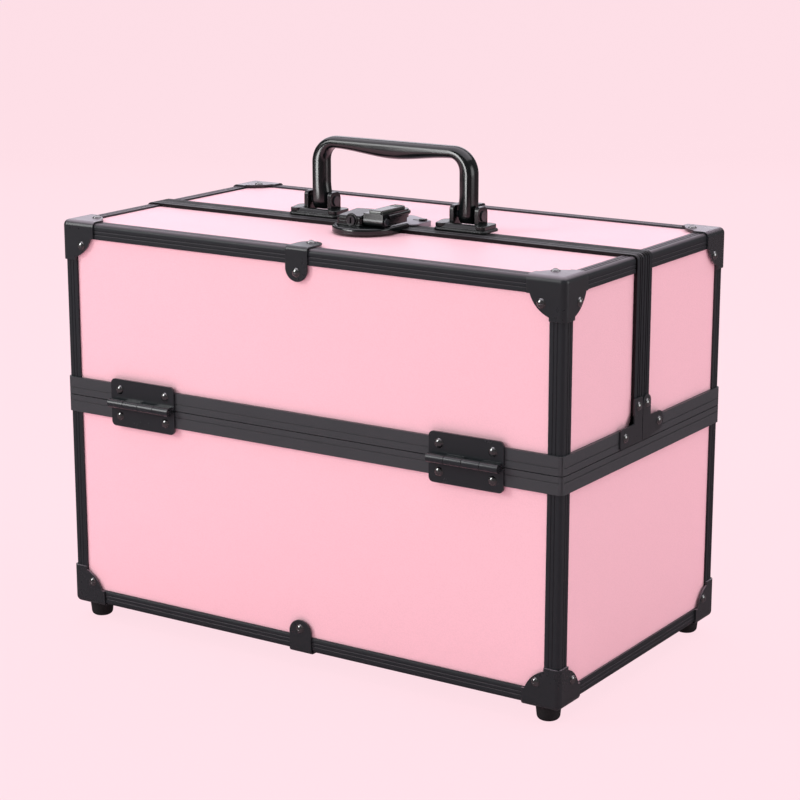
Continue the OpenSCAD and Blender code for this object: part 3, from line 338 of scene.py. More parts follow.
def metal_material(name, rgb, rough, worn, metallic=0.0, patch=0.05, coat=0.0, gloss=0.5, ior=1.5, upward=None):
    """Metal with smears in its gloss and edges rubbed to the worn colour, which on the ears is a light painted
    glint.

    Top painted light is a lighter colour painted on the faces that lie up, a painted sheen of the light from
    above, where it is given.
    """
    material, tree, bsdf = shader(name, Metallic=metallic, Coat_Weight=coat, Coat_Roughness=0.1, IOR=ior,
                                  Specular_IOR_Level=gloss)
    wear_and_glint = use(tree, edge_wear_and_glint_group, width=0.0007, patch=0.008)
    # Edges take the worn colour: rubbed paint, and on the ears a painted glint.
    tint = mixed(tree, wear_and_glint.outputs["Mask"], rgb, worn)
    if upward is not None:
        # Faces that lie up take the painted sheen colour.
        tint = mixed(tree, spread(tree, facing_of(tree)["Z"], 0.5, 0.95), tint, upward)
    tree.links.new(tint, bsdf.inputs["Base Color"])
    marks = use(tree, handling_group, smooth=rough[0], rough=rough[1], patch=patch)
    tree.links.new(marks.outputs["Roughness"], bsdf.inputs["Roughness"])
    bump(tree, bsdf, marks.outputs["Dust"], 0.000004)
    return material


# Across the seam: y in mm, and the grey of the frame from there on; the greys are painted light and shade of
# the grooves, and the darkest bands are painted shade at the front edge and at the gap between the halves
SEAM_LIGHT_AND_SHADE = ((-16.6, 0.002), (-15.8, 0.055), (-12.4, 0.05), (-11.4, 0.022), (-10.4, 0.085), (-8.9, 0.08),
              (-8.1, 0.0015), (-5.6, 0.0015), (-4.6, 0.075), (-2.2, 0.07), (-1.2, 0.022), (1.6, 0.02))
SEAM_FROM, SEAM_TO = -17.5, 2.5
# Painted shade on the frame's sides that face front and rear.
SEAM_SIDE_SHADE = (0.003, 0.002, 0.0025)


def seam_material():
    """Rolled frame along the seam: painted lines of light and shade run along its top, and its sides that face
    front and rear are painted in shade.
    """
    material, tree, bsdf = shader("seam_frame", Specular_IOR_Level=0.2)
    ramp = tree.nodes.new("ShaderNodeValToRGB")
    ramp.color_ramp.interpolation = "EASE"
    stops = ramp.color_ramp.elements
    for k, (y, grey) in enumerate(SEAM_LIGHT_AND_SHADE):
        stop = stops[k] if k < 2 else stops.new(0.5)
        stop.position = (y - SEAM_FROM) / (SEAM_TO - SEAM_FROM)
        stop.color = (grey, grey * 0.96, grey * 1.02, 1.0)
    across = axes_of(tree, place_of(tree))["Y"]
    tree.links.new(spread(tree, across, SEAM_FROM * MM, SEAM_TO * MM), ramp.inputs[0])
    facing = facing_of(tree)
    endward = spread(tree, maths(tree, "ABSOLUTE", facing["X"]), 0.5, 0.9)
    # Sides that face front and rear get painted shade, and the ends keep the frame's black.
    shaded_sides = mixed(tree, endward, SEAM_SIDE_SHADE, colours().frame_black)
    upward = spread(tree, facing["Z"], 0.3, 0.8)
    # Tops get the painted lines of light and shade.
    tree.links.new(mixed(tree, upward, shaded_sides, ramp.outputs["Color"]), bsdf.inputs["Base Color"])
    marks = use(tree, handling_group, smooth=0.42, rough=0.55, patch=0.05)
    tree.links.new(marks.outputs["Roughness"], bsdf.inputs["Roughness"])
    return material


def cloth_material(name, rgb):
    """Short pile cloth with a lay that changes its shade."""
    material, tree, bsdf = shader(name, Roughness=0.95, Sheen_Weight=0.35, Sheen_Roughness=0.45)
    place = place_of(tree)
    pile = noise(tree, place, 900.0, 3.0, 0.7)
    lay = noise(tree, place, 35.0, 3.0, 0.6)
    both = maths(tree, "ADD", maths(tree, "MULTIPLY", pile, 0.6), maths(tree, "MULTIPLY", lay, 0.4))
    tint = mixed(tree, spread(tree, both, 0.35, 0.65), shade(rgb, 0.7), shade(rgb, 1.5))
    tree.links.new(tint, bsdf.inputs["Base Color"])
    bump(tree, bsdf, pile, 0.0002)
    return material


def plastic_material(name, rgb, smooth, rough, grain=0.0006):
    """Moulded plastic with a fine spark-eroded texture."""
    material, tree, bsdf = shader(name, IOR=1.5)
    skin = use(tree, pebble_grain_group, size=grain, unevenness=0.4)
    marks = use(tree, handling_group, smooth=smooth, rough=rough, patch=0.05)
    # Valleys of the texture are painted darker: painted shade in the recesses.
    tree.links.new(mixed(tree, skin.outputs["Valleys"], rgb, shade(rgb, 0.8)), bsdf.inputs["Base Color"])
    tree.links.new(marks.outputs["Roughness"], bsdf.inputs["Roughness"])
    bump(tree, bsdf, skin.outputs["Height"], 0.00003)
    return material


# Name, setting of the colour, least and most roughness, colour of rubbed edges (on the ears a painted glint),
# and what else differs
METALS = {
    # The rails' tops get a lighter mauve: painted sheen of the light from above.
    "frame": ("anodised_frame", "frame_black", (0.38, 0.50), (0.026, 0.028, 0.031),
              {"gloss": 0.3, "upward": (0.098, 0.082, 0.094)}),
    "rim": ("closing_frame", "rim_black", (0.40, 0.52), (0.052, 0.054, 0.057), {}),
    "cap": ("painted_cap", "cap_black", (0.24, 0.36), (0.040, 0.042, 0.045), {}),
    # The caps' tops get a colour near the pale panels: painted sheen of the light from above.
    "corner": ("corner_cap", "cap_black", (0.24, 0.36), (0.040, 0.042, 0.045),
               {"upward": (0.18, 0.155, 0.178)}),
    "rivet": ("rivet_head", "gloss_black", (0.14, 0.20), (0.020, 0.020, 0.020),
              {"patch": 0.01, "coat": 1.0, "gloss": 0.6, "ior": 2.4}),
    "hinge": ("hinge_steel", "cap_black", (0.16, 0.28), (0.040, 0.040, 0.043), {"patch": 0.02}),
    "gloss": ("gloss_black", "gloss_black", (0.16, 0.23), (0.015, 0.015, 0.015), {"patch": 0.03}),
    "lock": ("lock_black", "gloss_black", (0.16, 0.23), (0.015, 0.015, 0.015), {"patch": 0.03, "gloss": 0.22}),
    # The ears' light edge colour is a painted glint.
    "ear": ("bracket_ear", "gloss_black", (0.16, 0.23), (0.240, 0.235, 0.245), {"patch": 0.03, "gloss": 0.3}),
    "foot": ("bracket_foot", "foot_black", (0.20, 0.30), (0.050, 0.056, 0.054), {"patch": 0.03, "gloss": 0.4}),
    "pad": ("lever_pad_satin", "pad_green", (0.18, 0.28), (0.070, 0.078, 0.070), {"patch": 0.03, "gloss": 0.8}),
    # The strike's grey is painted reflection of the bright backdrop.
    "strike": ("strike_grey", "strike_grey", (0.32, 0.42), (0.420, 0.410, 0.440), {"metallic": 0.3}),
    "steel": ("zinc_steel", "steel", (0.28, 0.45), (0.500, 0.500, 0.500), {"metallic": 1.0, "patch": 0.02}),
}
OTHERS = {
    "panel": panel_material,
    "seam": seam_material,
    "lining": lambda: cloth_material("lining_cloth", colours().lining),
    "felt": lambda: cloth_material("tray_felt", colours().felt),
    "tray": lambda: plastic_material("tray_plastic", colours().tray, 0.36, 0.5),
    "floor": lambda: plastic_material("floor_board", colours().tray, 0.5, 0.65, 0.0012),
    "rubber": lambda: plastic_material("foot_rubber", colours().rubber, 0.5, 0.7, 0.0008),
}
MADE = {}


def finish_of(kind):
    """The material of a kind, made when it is first asked for."""
    if kind in METALS and kind not in MADE:
        name, setting, rough, worn, more = METALS[kind]
        MADE[kind] = metal_material(name, getattr(colours(), setting), rough, worn, **more)
    elif kind not in MADE:
        MADE[kind] = OTHERS[kind]()
    return MADE[kind]


# ------------------------------------------------------------------ dressing CAD pieces

def modifier(piece, kind, **values):
    made = piece.modifiers.new(kind.title(), kind)
    for key, value in values.items():
        setattr(made, key, value)
    return made


def dress(name, kind, rounding=None):
    """Gives a CAD piece its material and rounds its sharp edges."""
    piece = NODES[name]
    piece.data.materials.clear()
    piece.data.materials.append(finish_of(kind))
    if rounding is not None:
        modifier(piece, "WELD", merge_threshold=0.00001)
        modifier(piece, "DECIMATE", decimate_type="DISSOLVE", angle_limit=math.radians(0.6))
        modifier(piece, "BEVEL", width=rounding, segments=2, limit_method="ANGLE", angle_limit=math.radians(35),
                 use_clamp_overlap=True, harden_normals=False)
        modifier(piece, "WEIGHTED_NORMAL", weight=60, keep_sharp=False)


def pieces_named(*endings):
    return sorted(n for n in NODES if n.endswith(endings))


# ------------------------------------------------------------------ making pieces

def on_front_lid(x, q, t):
    """A point on the front lid: x along the seam, q from the seam to the front, t up from the lid, in mm."""
    return Vector((x * MM, FRONT_SEAM - q * MM, LID_TOP + t * MM))


def on_rear_lid(x, q, t):
    """A point on the rear lid: x along the seam, q from the seam to the rear, t up from the lid, in mm."""
    return Vector((x * MM, REAR_SEAM + q * MM, LID_TOP + t * MM))


def piece_of(name, shape, kind, body):
    """Turns a bmesh into a piece of the case that moves with a body."""
    bmesh.ops.recalc_face_normals(shape, faces=shape.faces)
    mesh = bpy.data.meshes.new(name)
    shape.to_mesh(mesh)
    shape.free()
    for face in mesh.polygons:
        face.use_smooth = True
    mesh.materials.append(finish_of(kind))
    piece = bpy.data.objects.new(name, mesh)
    bpy.context.scene.collection.objects.link(piece)
    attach(piece, body)
    return piece


def rounded(piece, width, segments=3, angle=30):
    """Rounds the edges of a made piece that turn by more than an angle."""
    modifier(piece, "BEVEL", width=width, segments=segments, limit_method="ANGLE",
             angle_limit=math.radians(angle), use_clamp_overlap=True)
    modifier(piece, "WEIGHTED_NORMAL", weight=60, keep_sharp=False)
    return piece


def loft(shape, rings):
    """Joins rings of points, each with the same number, into a closed tube."""
    made = [[shape.verts.new(p) for p in ring] for ring in rings]
    for a, b in zip(made, made[1:]):
        for k in range(len(a)):
            n = (k + 1) % len(a)
            shape.faces.new((a[k], a[n], b[n], b[k]))
    shape.faces.new(made[0][::-1])
    shape.faces.new(made[-1])


def slab(shape, outline, place, low, high):
    """A plate: an outline of (u, v) points between two levels, put in place by place(u, v, level)."""
    loft(shape, [[place(u, v, level) for u, v in outline] for level in (low, high)])


def arc(centre, radius, start, stop, steps):
    """Points on an arc, in degrees."""
    return [(centre[0] + radius * math.cos(math.radians(start + (stop - start) * k / steps)),
             centre[1] + radius * math.sin(math.radians(start + (stop - start) * k / steps)))
            for k in range(steps + 1)]


def plan(u0, v0, u1, v1, radii, steps=6):
    """A rectangle with a radius of its own at each corner, counter-clockwise from the first."""
    a, b, c, d = radii
    return (arc((u0 + a, v0 + a), a, 180, 270, steps) + arc((u1 - b, v0 + b), b, 270, 360, steps)
            + arc((u1 - c, v1 - c), c, 0, 90, steps) + arc((u0 + d, v1 - d), d, 90, 180, steps))


def drawn_in(outline, by):
    """An outline, counter-clockwise, drawn in by a distance."""
    made = []
    for k, (u, v) in enumerate(outline):
        before, after = outline[k - 1], outline[(k + 1) % len(outline)]
        a = Vector((u - before[0], v - before[1])).normalized()
        b = Vector((after[0] - u, after[1] - v)).normalized()
        inward = Vector((-a.y - b.y, a.x + b.x)).normalized()
        reach = by / max(0.4, math.sqrt((1 + a.dot(b)) / 2))
        made.append((u + inward.x * reach, v + inward.y * reach))
    return made


def cast(shape, outline, place, low, high, radius, steps=5):
    """A plate between two levels whose upper edge is rounded."""
    turns = [math.radians(90 * k / steps) for k in range(steps + 1)]
    profile = [(0, low)] + [(radius * (1 - math.cos(a)), high - radius * (1 - math.sin(a))) for a in turns]
    loft(shape, [[place(u, v, level) for u, v in drawn_in(outline, by)] for by, level in profile])


def lathe(shape, base, axis, profile, steps=24):
    """Turns a profile of (radius, height) in mm about an axis that starts at base."""
    turn = Vector(axis).to_track_quat("Z", "X")
    rings = []
    for radius, height in profile:
        circle = arc((0, 0), radius, 0, 360, steps)[:-1]
        rings.append([Vector(base) + turn @ Vector((u * MM, v * MM, height * MM)) for u, v in circle])
    loft(shape, rings)


def loose_parts(piece):
    """Lists the lowest and the highest corner of each separate part of a CAD piece, in a fixed order."""
    shape = bmesh.new()
    shape.from_mesh(piece.data)
    left, boxes = set(shape.verts), []
    while left:
        reached = [left.pop()]
        for vertex in reached:
            near = {edge.other_vert(vertex) for edge in vertex.link_edges} & left
            left -= near
            reached.extend(near)
        points = [piece.matrix_world @ vertex.co for vertex in reached]
        boxes.append([Vector(pick(p[k] for p in points) for k in range(3)) for pick in (min, max)])
    shape.free()
    return sorted(boxes, key=lambda box: (*box[0], *box[1]))


def ease(t):
    t = max(0.0, min(1.0, t))
    return t * t * (3 - 2 * t)


# ------------------------------------------------------------------ handle

# In mm, with x from the middle of the handle and t up from the lid
PITCH = 109.0                 # distance of the legs
HANDLE_X = -2.0               # the handle's middle in the case
HANDLE_TOP = 51.5             # top of the grip
HANDLE_DEEP = 12.1            # size from front to rear
LEG, GRIP = 10.7, 7.3         # thickness of a leg and of the grip's ends
SWELL = 3.6                   # what the grip's middle adds underneath
FLARE, FLARE_TOP = 0.9, 22.0  # what a leg adds inside towards its foot, and where that starts
FLARE_LONG = 9.0              # the length over which it grows
BEND = 17.0                   # outer radius of the bends
PIVOT_UP, PIVOT_IN = 10.0, 13.95
EYE = 5.7                     # from the pivot to the leg's lower end
TOE_IN = 1.6                  # how far that end draws in on the inside
SQUARISH = 0.86               # 1 makes the section an oval, less makes it squarer
INSET = GRIP / 2              # the line that the section follows lies this far inside the outer face
BEND_INNER = 1.1 * INSET      # from that line to the inside of a bend
SIDE_X, LINE_TOP, TURN = PITCH / 2 + LEG / 2 - INSET, HANDLE_TOP - INSET, BEND - INSET


def handle_line():
    """Points (x, t, angle) of the line that the handle's section follows, from the left foot to the right."""
    left = [(-SIDE_X, PIVOT_UP - EYE * math.cos(math.pi / 2 * k / 10), 180.0) for k in range(10)]
    left += [(-SIDE_X, PIVOT_UP + (LINE_TOP - TURN - PIVOT_UP) * k / 16, 180.0) for k in range(17)]
    for k in range(1, 25):
        angle = 180 - 90 * k / 24
        a = math.radians(angle)
        left.append((-SIDE_X + TURN + TURN * math.cos(a), LINE_TOP - TURN + TURN * math.sin(a), angle))
    grip = [((SIDE_X - TURN) * (2 * k / 40 - 1), LINE_TOP, 90.0) for k in range(1, 40)]
    return left + grip + [(-x, t, 180 - angle) for x, t, angle in reversed(left)]


def squarer(value):
    """Moves the sine or the cosine of a round section towards a squarer one."""
    return math.copysign(abs(value) ** SQUARISH, value)


def handle_section(x, t, angle):
    """One ring of the handle: full legs, thin bends and a grip that swells underneath."""
    thin = ease(1 - abs(angle - 90) / 90) if t > LINE_TOP - TURN else 0.0
    inner = (LEG - INSET) * (1 - thin) + BEND_INNER * thin
    if t > LINE_TOP - 0.01:
        inner += SWELL * ease(1 - abs(x) / (SIDE_X - TURN + 1))
    inner += FLARE * ease((FLARE_TOP - t) / FLARE_LONG)
    deep = HANDLE_DEEP / 2
    if t < PIVOT_UP:
        drop = (PIVOT_UP - t) / EYE
        round_off = math.sqrt(max(0.0, 1 - drop * drop))
        deep *= max(0.04, round_off)
        inner -= TOE_IN * (1 - round_off)
    ring, points = [], 36
    for k in range(points):
        a = 2 * math.pi * k / points
        c, d = squarer(math.cos(a)), squarer(math.sin(a))
        reach = (INSET if c > 0 else inner) * c
        ring.append(on_rear_lid(HANDLE_X + x + reach * math.cos(math.radians(angle)), PIVOT_IN + d * deep,
                                t + reach * math.sin(math.radians(angle))))
    return ring


def make_handle():
    """Moulded carrying handle in one smooth sweep."""
    shape = bmesh.new()
    loft(shape, [handle_section(*p) for p in handle_line()])
    piece = piece_of("handle_moulding", shape, "gloss", "handle")
    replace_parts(piece, "handle")


# Handle bracket in mm, with u from the leg's middle and q from the seam
FOOT_HALF, FOOT_OFF = 18.7, 0.5                       # half the foot's width, and its shift to the right
FOOT_FRONT, FOOT_REAR = 1.5, 21.0
FOOT_FRONT_R, FOOT_REAR_R, FOOT_BEVEL = 3, 5, 1.0     # radii of its corners, and its upper edge's bevel
FOOT_LOW, FOOT_EDGE, FOOT_TOP, BLOCK_TOP = 1.02, 2.3, 3.0, 5.5
BLOCK_U, BLOCK_W = 14.3, 3.2
BLOCK_FRONT, BLOCK_FRONT_R = 3.9, 1.8                 # centre of its front corners, and their radius
BLOCK_REAR, BLOCK_REAR_R, BLOCK_OFF = 15.2, 4.9, 0.2  # the same for its round rear, and how far that is off
EAR = (8.5, 3.1, 19.4, 15.7)                          # q and t of its corners
EAR_RADII, EAR_ROUND = (0.4, 0.4, 4.2, 2.4), 1.2 * MM
EAR_IN, EAR_OUT = 7.5, 10.5
BAR = ((2.0, 2.9), (3.6, 5.0), (4.6, 5.4), (6.4, 5.4), (7.4, 4.6), (7.8, 2.9))
BAR_HALF = 13.6


def make_handle_bracket(sx, tag):
    """Cast bracket: a foot with a bevelled bar between two end blocks, and two ears for the leg."""
    cx = HANDLE_X + sx * PITCH / 2

    def flat(u, v, level):
        return on_rear_lid(cx + FOOT_OFF + u, v, level)

    def across(q, t, x):
        return on_rear_lid(cx + x, q, t)

    front_u, front_v = FOOT_HALF - FOOT_FRONT_R, FOOT_FRONT + FOOT_FRONT_R
    rear_u, rear_v = FOOT_HALF - FOOT_REAR_R, FOOT_REAR - FOOT_REAR_R
    outline = (arc((-front_u, front_v), FOOT_FRONT_R, 180, 270, 5)
               + arc((front_u, front_v), FOOT_FRONT_R, 270, 360, 5)
               + arc((rear_u, rear_v), FOOT_REAR_R, 0, 90, 6)
               + arc((-rear_u, rear_v), FOOT_REAR_R, 90, 180, 6))
    shape = bmesh.new()
    slab(shape, outline, flat, FOOT_LOW, FOOT_EDGE)
    upper = drawn_in(outline, FOOT_BEVEL)
    loft(shape, [[flat(u, v, FOOT_EDGE - 0.05) for u, v in outline], [flat(u, v, FOOT_TOP) for u, v in upper]])
    for end in (-1, 1):
        left = end * BLOCK_U - BLOCK_W / 2
        block = (arc((left, BLOCK_FRONT), BLOCK_FRONT_R, 180, 270, 3)
                 + arc((left + BLOCK_W, BLOCK_FRONT), BLOCK_FRONT_R, 270, 360, 3)
                 + arc((left + BLOCK_OFF, BLOCK_REAR), BLOCK_REAR_R, 0, 180, 10))
        slab(shape, block, flat, FOOT_TOP - 0.1, BLOCK_TOP)
        ears = bmesh.new()
        xs = (end * EAR_IN, end * EAR_OUT)
        slab(ears, plan(*EAR, EAR_RADII), across, min(xs), max(xs))
        side = "inner" if end * sx < 0 else "outer"
        rounded(piece_of("handle_ear_%s_%s" % (side, tag), ears, "ear", "rear_lid"), EAR_ROUND, 5, 50)
    slab(shape, BAR, across, -BAR_HALF, BAR_HALF)
    piece = piece_of("handle_bracket_" + tag, shape, "foot", "rear_lid")
    return rounded(piece, 0.55 * MM, 3, 28)


# ------------------------------------------------------------------ rivets

RIVET_WIDE = 5.0              # diameter of a plain head, which tells the way a rivet points
RIVET_HEAD = 1.6              # height that a head stands out
# The first points are a thin dark washer: a stand-in for the ring of shade round each head.
RIVET_PROFILE = [(2.9, 0.02), (2.9, 0.14), (2.5, 0.16), (2.5, 0.42), (2.42, 0.62), (2.2, 0.82), (1.8, 1.06),
                 (1.35, 1.25), (0.9, 1.38), (0.45, 1.46), (0.08, 1.48)]


def make_rivets(name):
    """Low domed heads on thin dark washers, which stand in for the ring of shade round each head, in place of
    the plain rivets of a body.
    """
    shape = bmesh.new()
    for low, high in loose_parts(NODES[name]):
        size, middle = high - low, (low + high) / 2
        along = max(range(3), key=lambda k: abs(size[k] - RIVET_WIDE * MM))
        way = 1 if along == 2 or middle[along] > 0 else -1
        base, axis = middle.copy(), Vector((0, 0, 0))
        axis[along] = way
        base[along] = (high if way > 0 else low)[along] - way * RIVET_HEAD * MM
        lathe(shape, base, axis, RIVET_PROFILE)
    piece = piece_of(name + "_domed", shape, "rivet", name.replace("_rivets", ""))
    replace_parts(piece, name)


# ------------------------------------------------------------------ latch

# In mm, with u from the latch's middle and v from the seam to the front
LATCH_X = -1.5
PLATE_R, PLATE_MIDDLE = 20.5, 18.0          # radius of the plate's round end, and its middle's v
PLATE_LAYERS = ((9.4, 0.02, 1.1, 0.0), (0.35, 1.03, 4.0, 1.5))  # where it starts, two levels, rounding
LOCK_FOOT = (-15, 2, 4.5, 29.5)             # u and v of two corners
LOCK_STEP = (-14.6, 2.3, 4.4, 29.2)
LOCK_BODY = (-14.5, 6.0, 4.3, 29.1)
BARREL_U, BARREL_UP = -2.52, 7.5
COLLAR = ((3.1, 0), (4.5, 0), (4.4, 0.5), (4.0, 0.75), (3.4, 0.75), (3.1, 0.4))
PAD = (7.1, -3.5, 16.7, 25.1)
PAD_LOW, PAD_TOP = 12.42, 14.12
RIDGE_U, RIDGES_V = (8.9, 14.9), (-0.6, 1.6, 3.8)
RIDGE_HALF, RIDGE_HIGH = 0.55, 0.3
CATCH_STUD = (15.6, 16.4, 20.4, 21.2)
CATCH_STRIP = (9.6, 19.2, 19.2, 22.4)
STRIKE_TOP = 2.2


def on_latch(u, v, level):
    return on_front_lid(LATCH_X + u, v, level)


def on_strike(u, v, level):
    return on_rear_lid(LATCH_X + u, v, level)


def make_latch_plate():
    """Round-ended plate with a soft upper edge."""
    shape = bmesh.new()
    for start, low, high, radius in PLATE_LAYERS:
        outline = [(-PLATE_R, start), (PLATE_R, start)] + arc((0, PLATE_MIDDLE), PLATE_R, 0, 180, 40)
        cast(shape, outline, on_latch, low, high, radius)
    piece = piece_of("latch_plate_cast", shape, "gloss", "front_lid")
    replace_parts(rounded(piece, 0.1 * MM, 1), "latch_plate")


def lock_slope(u, v, level):
    """Lets the upper part of the lock case fall towards the front and the left."""
    fall = 0.075 * max(0.0, v - LOCK_BODY[1]) + 0.03 * (LOCK_BODY[2] - u)
    return on_latch(u, v, level - fall * ease((level - 8.0) / 3.0))


def make_lock_case():
    """Lock case with round corners, a stepped foot and a collar around the key barrel."""
    shape = bmesh.new()
    cast(shape, plan(*LOCK_FOOT, (1.5, 1.5, 1.8, 3.2)), on_latch, 4.02, 5.0, 0.3)
    cast(shape, plan(*LOCK_STEP, (1.5, 1.5, 1.8, 3.0)), on_latch, 4.9, 7.4, 0.8)
    cast(shape, plan(*LOCK_BODY, (2.5, 2.5, 1.8, 3.0)), lock_slope, 7.0, 12.0, 1.5)
    lathe(shape, on_latch(BARREL_U, LOCK_BODY[3] - 0.1, BARREL_UP), (0, -1, 0), COLLAR)
    piece = piece_of("lock_case_cast", shape, "lock", "front_lid")
    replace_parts(rounded(piece, 0.1 * MM, 1), "lock_case")


def make_lever_panel():
    """Raised pad on the lever with three shallow ridges for the finger."""
    shape = bmesh.new()
    cast(shape, plan(*PAD, (3.9, 3.9, 1.2, 1.2), 8), on_latch, PAD_LOW, PAD_TOP, 1.0)
    for v in RIDGES_V:
        ridge = plan(RIDGE_U[0], v - RIDGE_HALF, RIDGE_U[1], v + RIDGE_HALF, (0.5,) * 4, 4)
        cast(shape, ridge, on_latch, PAD_TOP - 0.12, PAD_TOP + RIDGE_HIGH, 0.35)
    rounded(piece_of("lever_pad", shape, "pad", "latch_lever"), 0.1 * MM, 1)


def make_strike_catch():
    """Dark catch folded up at the right end of the strike plate."""
    shape = bmesh.new()
    cast(shape, plan(*CATCH_STUD, (1.8,) * 4), on_strike, STRIKE_TOP + 0.02, 3.7, 0.7)
    cast(shape, plan(*CATCH_STRIP, (1.2,) * 4), on_strike, STRIKE_TOP + 0.01, 2.5, 0.15)
    rounded(piece_of("strike_catch", shape, "gloss", "rear_lid"), 0.1 * MM, 1)


# ------------------------------------------------------------------ inside

TRAY_WALL, TRAY_FLOOR, TRAY_CELLS = 1.8, 2.0, 3
MAT_AIR, MAT_CORNER = 0.35, 3.8


def make_tray_mats(name):
    """A felt mat on the floor of each cell of a tray."""
    low, high = (Vector(corner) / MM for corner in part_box(name))
    cell = (high.x - low.x - (TRAY_CELLS + 1) * TRAY_WALL) / TRAY_CELLS
    thick = sizes().mat / MM
    front, rear = low.y + TRAY_WALL + MAT_AIR, high.y - TRAY_WALL - MAT_AIR

    def place(u, v, level):
        return Vector((u, v, level)) * MM

    shape = bmesh.new()
    for k in range(TRAY_CELLS):
        left = low.x + TRAY_WALL + k * (cell + TRAY_WALL)
        outline = plan(left + MAT_AIR, front, left + cell - MAT_AIR, rear, (MAT_CORNER,) * 4)
        under = low.z + TRAY_FLOOR + 0.01
        cast(shape, outline, place, under, under + thick, 0.3 * thick, 3)
    piece_of(name + "_mats", shape, "felt", name)


# ------------------------------------------------------------------ operators

class CaseOperator(bpy.types.Operator):
    """Base of the case's operators."""
    bl_options = {"REGISTER", "UNDO"}


class CASE_OT_panels(CaseOperator):
    """Covers the panels in grained sheet"""
    bl_idname = "case.panels"
    bl_label = "Panels"

    def execute(self, context):
        for name in pieces_named("_panels"):
            dress(name, "panel", 0.2 * MM)
        dress("base_floor_panel", "floor")
        return {"FINISHED"}


class CASE_OT_frames(CaseOperator):
    """Finishes the grooved edge rails and the closing frames"""
    bl_idname = "case.frames"
    bl_label = "Edge rails and closing frames"

    def execute(self, context):
        for name in pieces_named("_edge_rails", "_rim"):
            kind = "frame" if name.endswith("_rails") else "seam" if "seam" in name else "rim"
            dress(name, kind, sizes().edge_round)
        return {"FINISHED"}


class CASE_OT_corners(CaseOperator):
    """Finishes the corner caps, the edge clips, the seam brackets and their rivets"""
    bl_idname = "case.corners"
    bl_label = "Caps, clips and rivets"

    def execute(self, context):
        for name in pieces_named("_corner_caps", "_edge_clips", "_edge_clip", "_seam_brackets"):
            dress(name, "corner" if "corner" in name else "cap", sizes().edge_round)
        for name in pieces_named("_rivets"):
            make_rivets(name)
        return {"FINISHED"}


class CASE_OT_hinges(CaseOperator):
    """Finishes the hinge leaves and their pins"""
    bl_idname = "case.hinges"
    bl_label = "Hinges"

    def execute(self, context):
        for name in pieces_named("_hinge_leaves", "hinge_pins"):
            dress(name, "hinge", sizes().edge_round)
        return {"FINISHED"}


class CASE_OT_latch(CaseOperator):
    """Finishes the latch on the seam"""
    bl_idname = "case.latch"
    bl_label = "Latch"

    def execute(self, context):
        make_latch_plate()
        make_lock_case()
        make_lever_panel()
        make_strike_catch()
        dress("latch_lever", "gloss", 0.8 * MM)
        for name in ("lever_pin", "key_barrel"):
            dress(name, "hinge", 0.2 * MM)
        dress("latch_strike", "strike", 0.5 * MM)
        return {"FINISHED"}


class CASE_OT_handle(CaseOperator):
    """Finishes the handle, its brackets and its pins"""
    bl_idname = "case.handle"
    bl_label = "Handle"

    def execute(self, context):
        make_handle()
        for sx, tag in ((-1, "left"), (1, "right")):
            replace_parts(make_handle_bracket(sx, tag), "handle_brackets")
        dress("handle_pins", "hinge")
        return {"FINISHED"}


class CASE_OT_inside(CaseOperator):
    """Finishes the lining, the trays and the linkage that lifts them"""
    bl_idname = "case.inside"
    bl_label = "Inside"

    def execute(self, context):
        for name in pieces_named("_lining"):
            dress(name, "lining")
        for name in pieces_named("_tray"):
            dress(name, "tray", 0.5 * MM)
            make_tray_mats(name)
        for name in pieces_named("_arms", "_tray_pins", "arm_plates", "arm_plate_pins"):
            dress(name, "steel", 0.25 * MM)
        return {"FINISHED"}


class CASE_OT_feet(CaseOperator):
    """Finishes the feet and their screws"""
    bl_idname = "case.feet"
    bl_label = "Feet"

    def execute(self, context):
        dress("feet", "rubber", 0.4 * MM)
        dress("foot_screws", "steel")
        return {"FINISHED"}


# ------------------------------------------------------------------ stage

def softbox(name, at, aim, width, height, watts, tint=(1.0, 1.0, 1.0)):
    """A light in the form of a panel that faces a point."""
    data = bpy.data.lights.new(name, "AREA")
    data.shape = "RECTANGLE"
    data.size, data.size_y = width, height
    data.energy = watts
    data.color = tint
    lamp = bpy.data.objects.new(name, data)
    bpy.context.scene.collection.objects.link(lamp)
    lamp.location = at
    lamp.visible_camera = False
    lamp.rotation_euler = (Vector(aim) - Vector(at)).to_track_quat("-Z", "Y").to_euler()
    return lamp


def reflector(name, at, width, height, watts):
    """A standing card that only shows in the glossy black pieces, which are all made by now."""
    card = softbox(name, at, (0, 0, at[2]), width, height, watts)
    card.visible_diffuse = False
    shown_in = bpy.data.collections.new(name + "_pieces")
    shiny = [MADE[kind] for kind in ("gloss", "lock", "pad", "ear")]
    for piece in bpy.context.scene.objects:
        if piece.type == "MESH" and any(material in shiny for material in piece.data.materials):
            shown_in.objects.link(piece)
    card.light_linking.receiver_collection = shown_in
    return card


GLOSSY_PAINT = 0.05           # share of the floor's colour that lamps light up in reflections
SHADOW_LOSS = 0.6             # how much of the shadow's share the floor's glow gives up
ROOM_TINT = (1.0, 0.93, 0.95)
TOP_TINT, BACK_TINT = (0.98, 0.91, 1.0), (0.93, 0.9, 1.0)
FLOOR_HALF, FLOOR_LOW = 6.0, 0.2 * MM


